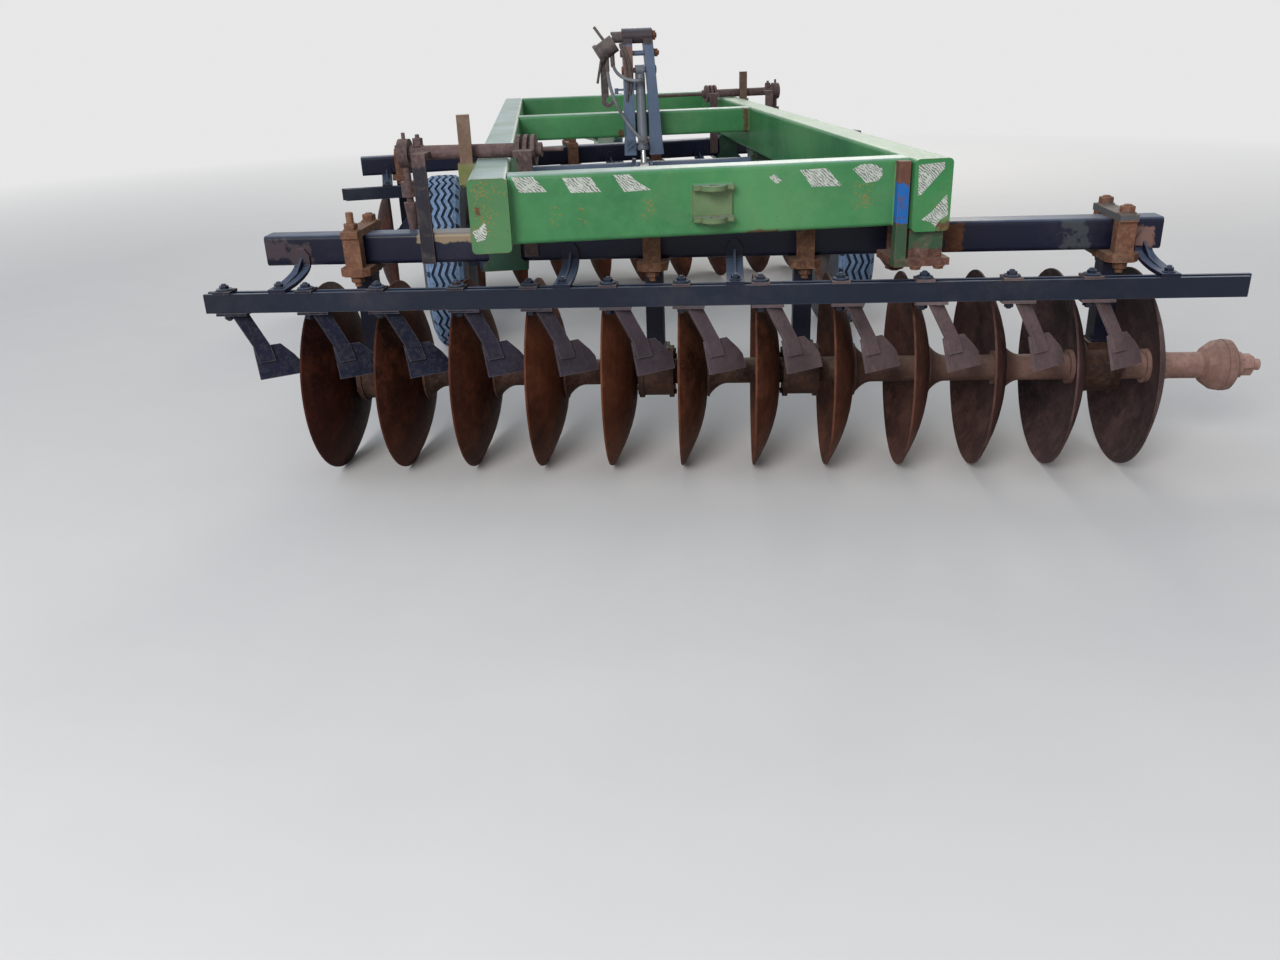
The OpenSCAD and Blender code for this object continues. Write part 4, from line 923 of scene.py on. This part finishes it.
def hanger_ribs(gang, axes):
    ribs = Shape()
    for x in RAIL_HANGER_X:
        rings = []
        for across in (-RIB_T / 2, RIB_T / 2):
            rings.append([axes @ Vector((x + across, y, z)) for y, z in RIB_OUTLINE])
        ribs.loft(rings)
    ribs.piece(gang + "_hanger_ribs", gang + "_gang", "navy")


# The cap bolts on the lips' faces of the bearing housings.
AXLE_Z = 0.330
LIP_X = 0.060
LIP_BOLT_R = 0.074
LIP_BOLTS = 6


def bearing_trim(gang, axes):
    trim = Shape()
    for x in BEARINGS_ALONG:
        for side in (-1, 1):
            for k in range(LIP_BOLTS):
                turn = 2 * math.pi * (k + 0.5) / LIP_BOLTS
                at = Vector((x + side * LIP_X, 0, AXLE_Z)) + spoke(LIP_BOLT_R, turn)
                hex_nut(trim, along_gang(axes, *at, side), *LIP_BOLT, k * 0.2)
    trim.piece(gang + "_bearing_bolts", gang + "_gang", "bearing")


for gang, axes in GANGS.items():
    clamp_bolts(gang, axes)
    scraper_bolts(gang, axes)
    hanger_bolts(gang, axes)
    bearing_trim(gang, axes)
    hanger_ribs(gang, axes)


# ---- the lift's two hoses
HOSE_D = 0.016
HOSE_STEPS = 26
HOSE_SIDES = 12
COLLAR_R = 0.0115
CRIMP_R = COLLAR_R - 0.0012
COLLAR_L = 0.032
HOSE_CURVES = {
    "upper": ((-0.112, 2.470, 1.311), (-0.112, 2.470, 1.200), (0.021, 2.290, 1.215), (0.021, 2.406, 1.215)),
    "lower": ((-0.140, 2.470, 1.291), (-0.140, 2.470, 1.060), (0.021, 2.230, 0.930), (0.021, 2.362, 0.930)),
}


def curve_point(curve, part):
    rest = 1 - part
    a, b, c, d = (place(*point) for point in curve)
    return a * rest**3 + 3 * b * part * rest**2 + 3 * c * part**2 * rest + d * part**3


def collar(name, body, at, way):
    """A crimped sleeve at a hose's end, from at along way."""
    shape = Shape()
    profile = [(0.0, COLLAR_R - 0.001), (0.001, COLLAR_R)]
    for k in range(3):
        low = 0.005 + 0.009 * k
        profile += [(low, COLLAR_R), (low + 0.001, CRIMP_R), (low + 0.004, CRIMP_R), (low + 0.005, COLLAR_R)]
    profile += [(COLLAR_L - 0.001, COLLAR_R), (COLLAR_L, COLLAR_R - 0.001)]
    shape.turned(standing(at, way), profile, 20)
    return shape.piece(name, body, "coupling")


def lift_hose(name, curve):
    points = [curve_point(curve, k / HOSE_STEPS) for k in range(HOSE_STEPS + 1)]
    shape = Shape()
    shape.swept(points, [HOSE_D / 2] * len(points), HOSE_SIDES)
    hose = shape.piece(name, None, "hose")
    collars = [
        collar(name + "_top_collar", "frame", points[0], points[1] - points[0]),
        collar(name + "_port_collar", "lift_barrel", points[-1], points[-2] - points[-1]),
    ]
    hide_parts("lift_hoses")
    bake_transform(hose)


for name, curve in HOSE_CURVES.items():
    lift_hose("hose_" + name, curve)


# ---- tyres
TREAD_PERIODS = 29
TREAD_STEPS = (0.0, 0.12, 0.16, 0.25, 0.38, 0.42, 0.50, 0.62, 0.66, 0.75, 0.88, 0.92)
GROOVES = (-0.0465, -0.0155, 0.0155, 0.0465)
GROOVE_HALF = 0.0055
GROOVE_WALL = 0.0015
GROOVE_SWING = 0.0090
GROOVE_DEPTH = 0.010
NOTCH_DEPTH = 0.008
NOTCH_LEFT = (0.15, 0.39)
NOTCH_RIGHT = (0.65, 0.89)
NOTCH_IN = 0.067
NOTCH_OUT = 0.079
TYRE_INSET = 0.0005
FLANK_LINES = (0.243, 0.360)
FLANK_LINE_DEPTH = 0.0018


def between(pairs, at):
    """The second value of a table of pairs at a first value between two of its rows."""
    for (a, low), (b, high) in zip(pairs, pairs[1:]):
        if a <= at <= b:
            return low + (high - low) * (at - a) / (b - a)
    return pairs[-1][1]


CROWN_BY_HALF = [(half, radius) for radius, half in CROWN]


def flank_points():
    """(half width, radius) up the flank, with a fine groove at each of its lines."""
    radii = {radius for radius, half in FLANK}
    for line in FLANK_LINES:
        radii |= {line - 0.0035, line - 0.0015, line + 0.0015, line + 0.0035}
    points = []
    for radius in sorted(radii):
        sunk = any(abs(radius - line) < 0.002 for line in FLANK_LINES)
        inset = TYRE_INSET + (FLANK_LINE_DEPTH if sunk else 0.0)
        points.append((between(FLANK, radius) - inset, radius))
    return points


def tread_points(part):
    """(across, radius) over the tread at a part of its period, from left to right."""
    swing = GROOVE_SWING * (1 - abs(((4 * part + 1) % 4) - 2)) * -1
    left = NOTCH_DEPTH if NOTCH_LEFT[0] < part < NOTCH_LEFT[1] else 0.0
    right = NOTCH_DEPTH if NOTCH_RIGHT[0] < part < NOTCH_RIGHT[1] else 0.0
    marks = [(-NOTCH_OUT, left), (-NOTCH_IN, left), (0.002 - NOTCH_IN, 0.0)]
    for groove in GROOVES:
        for side in (-1, 1):
            edge = (groove + swing + side * (GROOVE_HALF + GROOVE_WALL), 0.0)
            floor = (groove + swing + side * GROOVE_HALF, GROOVE_DEPTH)
            marks += [edge, floor] if side < 0 else [floor, edge]
    marks += [(NOTCH_IN - 0.002, 0.0), (NOTCH_IN, right), (NOTCH_OUT, right)]
    return [(across, between(CROWN_BY_HALF, abs(across)) - TYRE_INSET - depth) for across, depth in marks]


def tyre(side):
    centre = middle(side + "_tyre")
    flank = flank_points()
    rings = []
    for period in range(TREAD_PERIODS):
        for part in TREAD_STEPS:
            turn = 2 * math.pi * (period + part) / TREAD_PERIODS
            section = [(-half, radius) for half, radius in flank] + tread_points(part)
            section += [(half, radius) for half, radius in reversed(flank)]
            rings.append([centre + Vector((across, 0, 0)) + spoke(radius, turn) for across, radius in section])
    shape = Shape()
    shape.loft(rings, loop=True)
    piece = shape.piece(side + "_treaded_tyre", side + "_wheel", "tyre")
    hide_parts(side + "_tyre")


# Wheel nuts, the hub's cap and the valve on the outer side of each rim.
WHEEL_NUTS = 6
WHEEL_NUT_R = 0.090
WHEEL_FACE = 0.0285
HUB_FACE = 0.0635
HUB_CAP = ((0.0, 0.040), (0.004, 0.041), (0.012, 0.040), (0.020, 0.032), (0.024, 0.020), (0.025, 0.006))
VALVE = ((0.0, 0.005), (0.020, 0.0045), (0.021, 0.0035), (0.030, 0.0035))
VALVE_R = 0.164
VALVE_TURN = 0.5
VALVE_FACE = 0.004
STUB_NUT_X = 0.805


def wheel_trim(side, sign):
    centre = middle(side + "_tyre")
    out = Vector((sign, 0, 0))
    trim = Shape()
    for k in range(WHEEL_NUTS):
        turn = 2 * math.pi * (k + 0.25) / WHEEL_NUTS
        spot = centre + spoke(WHEEL_NUT_R, turn) + WHEEL_FACE * out
        bolt(trim, standing(spot, out), *WHEEL_BOLT, k * 0.2)
    trim.turned(standing(centre + HUB_FACE * out, out), HUB_CAP, 32)
    valve = centre + spoke(VALVE_R, VALVE_TURN) + VALVE_FACE * out
    trim.turned(standing(valve, out), VALVE, 10)
    trim.piece(side + "_wheel_trim", side + "_wheel", "rim")
    hub = Shape()
    base = standing(Vector((MACHINE.x + sign * STUB_NUT_X, centre.y, centre.z)), -out)
    bolt(hub, base, *STUB_NUT)
    hub.piece(side + "_stub_nut", "lift_shaft", "slate")


for side, sign in (("left", -1), ("right", 1)):
    tyre(side)
    wheel_trim(side, sign)


# ---- worn marker film on the frame's rear
# Outlines as the machine's own (x, z), on the rear cross beam and on the rear ends of the side beams.
CROSS_FILM = (
    ((-0.582, 1.053), (-0.519, 1.052), (-0.482, 1.008), (-0.562, 1.009)),
    ((-0.436, 1.045), (-0.355, 1.044), (-0.325, 1.001), (-0.413, 1.002)),
    ((-0.288, 1.047), (-0.240, 1.047), (-0.226, 1.031), (-0.212, 1.021), (-0.179, 1.000), (-0.258, 0.998)),
    ((0.170, 1.021), (0.188, 1.029), (0.196, 1.020), (0.212, 1.011), (0.194, 1.000)),
    ((0.262, 1.037), (0.343, 1.039), (0.390, 0.986), (0.300, 0.987)),
    ((0.421, 1.033), (0.448, 1.046), (0.482, 1.045), (0.509, 1.032), (0.512, 1.012), (0.500, 0.996), (0.463, 0.991)),
)
END_FILM = (
    ((0.603, 1.042), (0.680, 1.047), (0.682, 1.030), (0.615, 0.956), (0.606, 0.956)),
    ((0.620, 0.883), (0.650, 0.905), (0.694, 0.955), (0.702, 0.894), (0.678, 0.880), (0.664, 0.860), (0.650, 0.876)),
    ((-0.703, 0.914), (-0.685, 0.919), (-0.664, 0.939), (-0.661, 0.908), (-0.668, 0.889), (-0.692, 0.884)),
)
FILM_T = 0.0006
FILM_UNDER = 0.0002


def marker_film():
    film = Shape()
    for outlines, face in ((CROSS_FILM, REAR_END_STEP), (END_FILM, 0.0)):
        for outline in outlines:
            extruded(film, outline, face + FILM_UNDER, face + FILM_UNDER - FILM_T)
    film.piece("marker_film", "frame", "film")


marker_film()

# ---- welds on the frame
OUTER_X = 0.708
# Upright welds on the inner faces of both side beams, as x, y and the span of z.
INNER_WELDS = (
    (INNER_X, 0.050, 0.866, 1.050), (INNER_X, 0.150, 0.866, 1.050),
    (INNER_X, 2.571, 0.944, 1.052), (INNER_X, 2.691, 0.944, 1.052),
    (INNER_X, 4.350, 0.856, 1.050),
)
# The welds round the rear clevis, and up the strap, the mast's feet and the drawbar's head.
CLEVIS_X, CLEVIS_Y, CLEVIS_Z = (-0.060, 0.060), 0.048, (0.905, 1.010)
STRAP_WELDS = ((0.5505, 0.5845), 0.050, 0.866, 1.044, 0.0045)
FOOT_WELDS = ((-0.058, -0.012, 0.080, 0.126), 2.570, 0.942, 1.054, 0.0045)
HEAD_WELDS = ((-0.060, 0.060), 4.451, 0.900, 1.008, 0.005)
SLEEVE_WELD = (0.990, 1.046)


def upright_welds(seams, across, y, low, high, radius=0.004):
    for x in across:
        seams.weld(place(x, y, low), place(x, y, high), radius)


def frame_welds():
    seams = Shape()
    for x, y, low, high in INNER_WELDS:
        upright_welds(seams, (0.001 - x, x - 0.001), y, low, high, 0.005)
    upright_welds(seams, CLEVIS_X, CLEVIS_Y, *CLEVIS_Z)
    for z in CLEVIS_Z:
        seams.weld(place(CLEVIS_X[0], CLEVIS_Y, z), place(CLEVIS_X[1], CLEVIS_Y, z))
    upright_welds(seams, *STRAP_WELDS)
    upright_welds(seams, *FOOT_WELDS)
    for gang, sign in (("rear", -1), ("front", 1)):
        low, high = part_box(gang + "_stop_post")
        for y in (low.y, high.y):
            upright_welds(seams, (sign * OUTER_X,), y - MACHINE.y, *SLEEVE_WELD)
    upright_welds(seams, *HEAD_WELDS)
    seams.piece("frame_welds", "frame", "green")


frame_welds()

# ---- bolts on the mast, the jaw and the pivots
MAST_Y = 2.470
MAST_BOLT_X = (-0.0600, 0.0895)
MAST_BOLT_Z = 1.338
MAST_PIN_X = (-0.0602, 0.0968)
MAST_PIN_Z = 1.260
PIN_HEAD = ((0.0, 0.020), (0.006, 0.020), (0.008, 0.018))
KNUCKLE_X = 0.0840
KNUCKLE_Z = 1.417
JAW_BOLTS = ((0.621, 0.026), (0.693, 0.026))
JAW_LOW = 0.743
JAW_NUT_Y = 0.066
JAW_TOP = 0.765
PIVOT_S = {"rear": 0.5892, "front": 0.6211}
PIVOT_BOLTS_ALONG = (0.020, 0.072)
PIVOT_BOLT_Y = 0.079
PIVOT_PLATE_LOW = 0.834
PIVOT_NUT_LOW = 0.678
BEARING_FOOT_LOW = 0.830
SHAFT_BEARING_X = 0.6505
SHAFT_BOLTS_X = (-0.034, 0.034)
SHAFT_BOLTS_Y = (2.483, 2.637)
# A washer's thickness, and its bore, its radius, how far past it the cotter is, its reach and its radius.
WASHER_T = 0.003
MAST_PIN_END = (0.0125, 0.022, 0.0050, 0.019, 0.0022)
LEVER_PIN_END = (0.0122, 0.021, 0.0062, 0.018, 0.0020)
# How much of a cotter's ends is bent.
COTTER_BENT = 0.010


def pin_end(shape, x, pin, side, bore, radius, past, reach, wire):
    """A washer on the end of a crosswise pin at (y, z), and a cotter through the pin beyond it."""
    washer = [(0.0, bore), (0.0, radius), (WASHER_T, radius), (WASHER_T, bore)]
    shape.hoop(crosswise(x, *pin, side), washer)
    heights = (-reach, COTTER_BENT - reach, reach - COTTER_BENT, reach)
    shape.swept([place(x + side * past, pin[0], pin[1] + z) for z in heights], [wire] * len(heights))


def frame_bolts():
    nuts = Shape()
    bolt(nuts, crosswise(MAST_BOLT_X[1], MAST_Y, MAST_BOLT_Z, 1), *MAST_BOLT)
    hex_nut(nuts, crosswise(MAST_BOLT_X[0], MAST_Y, MAST_BOLT_Z, -1), *MAST_NUT)
    bolt(nuts, crosswise(KNUCKLE_X, MAST_Y, KNUCKLE_Z, 1), *KNUCKLE_BOLT)
    pin_end(nuts, MAST_PIN_X[1], (MAST_Y, MAST_PIN_Z), 1, *MAST_PIN_END)
    nuts.turned(crosswise(MAST_PIN_X[0], MAST_Y, MAST_PIN_Z, -1), PIN_HEAD)
    for x, y in JAW_BOLTS:
        bolt(nuts, standing(place(x, y, JAW_LOW), (0, 0, -1)), *JAW_HEAD, x)
    bolt(nuts, standing(place(JAW_BOLTS[1][0], JAW_NUT_Y, JAW_TOP)), *JAW_NUT)
    bolt(nuts, standing(place(JAW_BOLTS[0][0], JAW_NUT_Y, JAW_TOP)), *JAW_NUT, 0.4)
    for gang, s in PIVOT_S.items():
        axes = GANGS[gang]
        for along in PIVOT_BOLTS_ALONG:
            for side in (-1, 1):
                spot = on_gang(axes, s + along, side * PIVOT_BOLT_Y, PIVOT_PLATE_LOW, down=True)
                hex_nut(nuts, spot, *PIVOT_BOLT, along * 9)
        stud(nuts, on_gang(axes, s, 0, PIVOT_NUT_LOW, down=True), *PIVOT_STUD)
    nuts.piece("frame_bolts", "frame", "clamp")
    feet = Shape()
    for side in (-1, 1):
        for across in SHAFT_BOLTS_X:
            for y in SHAFT_BOLTS_Y:
                spot = place(side * SHAFT_BEARING_X + across, y, BEARING_FOOT_LOW)
                hex_nut(feet, standing(spot, (0, 0, -1)), *FOOT_NUT, y)
    feet.piece("shaft_bearing_bolts", "frame", "green_dark")


frame_bolts()


# A face plate that widens the mast's right leg, and rigid pipes down from the couplings.
LEG_FACE_Y = 2.430
LEG_PLATE_T = 0.006
LEG_PLATE = ((0.0570, 0.860), (0.1270, 0.860), (0.0945, 1.270), (0.0530, 1.270))
# Each leg's foot below the middle cross beam, between two x at its top and bottom.
LEG_FEET = (((-0.0680, -0.0110), (-0.0700, -0.0110)), ((0.0560, 0.1215), (0.0570, 0.1270)))
FOOT_Z = (0.932, 0.860)
FOOT_DEPTH = 0.036
PIPES = (
    (
        (-0.052, 2.440, 1.372), (-0.050, 2.420, 1.345), (-0.034, 2.416, 1.300), (-0.024, 2.418, 1.215),
        (-0.036, 2.422, 1.150),
    ),
    (
        (-0.070, 2.440, 1.372), (-0.066, 2.418, 1.340), (-0.052, 2.414, 1.290), (-0.044, 2.418, 1.190),
        (-0.050, 2.422, 1.120),
    ),
)
PIPE_R = 0.0055
PIPE_STEPS = 5


def smoothed(points):
    """A smooth line through points, with PIPE_STEPS points from each to the next."""
    line = []
    for k in range(len(points) - 1):
        before, after = points[max(k - 1, 0)], points[min(k + 2, len(points) - 1)]
        a, b = points[k], points[k + 1]
        for j in range(PIPE_STEPS):
            t = j / PIPE_STEPS
            bend = (2 * before - 5 * a + 4 * b - after) * t * t + (3 * a - before - 3 * b + after) * t**3
            line.append(a + 0.5 * ((b - before) * t + bend))
    return line + [points[-1]]


def mast_trim():
    plate = Shape()
    extruded(plate, LEG_PLATE, LEG_FACE_Y, LEG_FACE_Y - LEG_PLATE_T)
    for top, low in LEG_FEET:
        outline = [(top[0], FOOT_Z[0]), (top[1], FOOT_Z[0]), (low[1], FOOT_Z[1]), (low[0], FOOT_Z[1])]
        extruded(plate, outline, LEG_FACE_Y + FOOT_DEPTH, LEG_FACE_Y)
    plate.piece("mast_leg_plate", "frame", "mast")
    pipes = Shape()
    for route in PIPES:
        points = [place(*point) for point in route]
        line = smoothed(points)
        pipes.swept(line, [PIPE_R] * len(line), 12)
        pipes.turned(standing(points[0], points[0] - points[1]), [(-0.010, 0.009), (0.012, 0.009)], 6)
    pipes.piece("mast_pipes", "frame", "coupling")


mast_trim()

# ---- the lift's lever and cylinder
LEVER_X = 0.021
LEVER_FACE = 0.0443
LEVER_PIN = (2.395, 0.800)
GLAND = ((0.356, 0.0235), (0.356, 0.0265), (0.359, 0.028), (0.376, 0.028), (0.379, 0.0265), (0.379, 0.0235))


def lift_trim():
    pins = Shape()
    for side in (-1, 1):
        pin_end(pins, LEVER_X + side * LEVER_FACE, LEVER_PIN, side, *LEVER_PIN_END)
    pins.piece("lever_pin_cotters", "lift_shaft", "clamp")
    top = place(LEVER_X, MAST_Y, MAST_PIN_Z)
    way = place(LEVER_X, *LEVER_PIN) - top
    gland = Shape()
    gland.hoop(standing(top, way), GLAND, 28)
    gland.piece("cylinder_gland", "lift_barrel", "barrel")


lift_trim()

# ---- the gangs' ends, yokes and welds
AXLE_NUTS = ((-1.3895, 0.0505), (1.7505, 0.0395))
AXLE_THREADS = ((-1.4285, 0.0390, 0.0510), (1.7890, 0.0240, 0.0385))
AXLE_NUT_W = 0.076
AXLE_THREAD_PITCH = 0.004
YOKE_Z = 1.082
YOKE_Y = 0.040
YOKE_LEFT = {"rear": -1.0141, "front": -0.9746}
YOKE_RIGHT = {"rear": -0.5702, "front": -0.5348}
YOKE_STUB = {"rear": (0.070, 0.007), "front": (0.300, 0.0095)}
YOKE_BOLT_IN = 0.030
YOKE_BOLT_UP = 0.0215
YOKE_STUD_OUT = 0.017
YOKE_STUD_UP = 0.042
# The hangers' heads and feet, where weld beads go round.
POST_LOW = 0.427
POST_TOP = 0.705
POST_HALF = (0.030, 0.0375)


def axle_ends(gang, axes):
    ends = Shape()
    for start, length in AXLE_NUTS:
        hex_nut(ends, along_gang(axes, start, 0, AXLE_Z), 0.0, AXLE_NUT_W, length)
    for start, length, diameter in AXLE_THREADS:
        stud(ends, along_gang(axes, start, 0, AXLE_Z), 0.0, diameter, length, AXLE_THREAD_PITCH)
    ends.piece(gang + "_axle_nuts", gang + "_rotor", "axle")


def yoke_trim(gang, axes):
    trim = Shape()
    length, radius = YOKE_STUB[gang]
    base = along_gang(axes, YOKE_RIGHT[gang], YOKE_Y, YOKE_Z)
    trim.turned(base, [(-0.002, radius), (length - 0.002, radius), (length, radius - 0.002)], 16)
    bolt(trim, on_gang(axes, YOKE_LEFT[gang] + YOKE_BOLT_IN, YOKE_Y, YOKE_Z + YOKE_BOLT_UP), *YOKE_BOLT)
    stud(trim, on_gang(axes, YOKE_LEFT[gang] - YOKE_STUD_OUT, YOKE_Y, YOKE_Z + YOKE_STUD_UP), *YOKE_STUD)
    trim.piece(gang + "_yoke_trim", gang + "_gang", "yoke")


def post_welds(gang, axes):
    """Beads round the head and the foot of each hanger."""
    beads = Shape()
    for x in BEARINGS_ALONG:
        for z in (POST_LOW, POST_TOP):
            corners = [axes @ Vector((x + a * POST_HALF[0], b * POST_HALF[1], z)) for a, b in SQUARE]
            for start, end in zip(corners, corners[1:] + corners[:1]):
                beads.weld(start, end)
    beads.piece(gang + "_hanger_welds", gang + "_gang", "navy")


for gang, axes in GANGS.items():
    axle_ends(gang, axes)
    yoke_trim(gang, axes)
    post_welds(gang, axes)


# ---- floor, world and lamps
FLOOR_HALF = 60.0
FLOOR_FADE = (4.2, 10.5)
BACKDROP = (0.80, 0.80, 0.80)
SOIL = (0.30, 0.27, 0.24)
FLOOR_PALE = ((0.72, 0.71, 0.70), (0.77, 0.76, 0.75))
SKY_COLOUR = (0.84, 0.90, 1.0)
# The sky's light falls across the machine: from x, to x, the level on the left, the level on the right.
SKY_LEVEL = (-0.7, 0.7, 0.78, 0.20)


def make_stage():
    mesh = bpy.data.meshes.new("floor")
    corners = [(x * FLOOR_HALF, y * FLOOR_HALF, 0) for x, y in SQUARE]
    mesh.from_pydata(corners, [], [(0, 1, 2, 3)])
    floor = bpy.data.objects.new("floor", mesh)
    bpy.context.collection.objects.link(floor)
    n = Paint("floor")
    seen = n.seen()
    pale = n.blend(n.noise(3.0, 6.0, 0.6), *FLOOR_PALE)
    n.finish(n.blend(seen, SOIL, pale), 0.9)
    glow = n.add("ShaderNodeEmission", Color=BACKDROP)
    far = n.span(n.vectors("LENGTH", n.coords), *FLOOR_FADE)
    n.put(n.output.inputs["Surface"], n.mixed(n.times(far, seen), n.shader.outputs[0], glow.outputs[0]))
    mesh.materials.append(n.material)


def make_world():
    world = bpy.data.worlds.new("studio")
    bpy.context.scene.world = world
    world.use_nodes = True
    sky = Nodes(world.node_tree, "Generated")
    soft = sky.add("ShaderNodeBackground", Color=SKY_COLOUR, Strength=sky.span(sky.axes()[0], *SKY_LEVEL))
    plain = sky.add("ShaderNodeBackground", Color=BACKDROP)
    sky.add("ShaderNodeOutputWorld", Surface=sky.mixed(sky.seen(), soft.outputs[0], plain.outputs[0]))


def lamp(name, at, aim, size, power, colour):
    data = bpy.data.lights.new(name, "AREA")
    data.size = size
    data.energy = power
    data.color = colour
    light = bpy.data.objects.new(name, data)
    bpy.context.collection.objects.link(light)
    light.location = at
    light.rotation_euler = (Vector(aim) - Vector(at)).to_track_quat("-Z", "Y").to_euler()


make_stage()
make_world()
lamp("key", (-3.4, -9.4, 4.6), (0, -2.4, 0.6), 3.2, 430, (1.0, 0.98, 0.95))
lamp("fill", (6.5, -6.0, 4.5), (0, -1.0, 0.5), 5.0, 20, (0.94, 0.97, 1.0))
lamp("back", (3.0, 8.0, 6.0), (0, 0, 0.5), 5.0, 380, (1.0, 0.95, 0.86))

bpy.context.scene.view_settings.view_transform = "Standard"
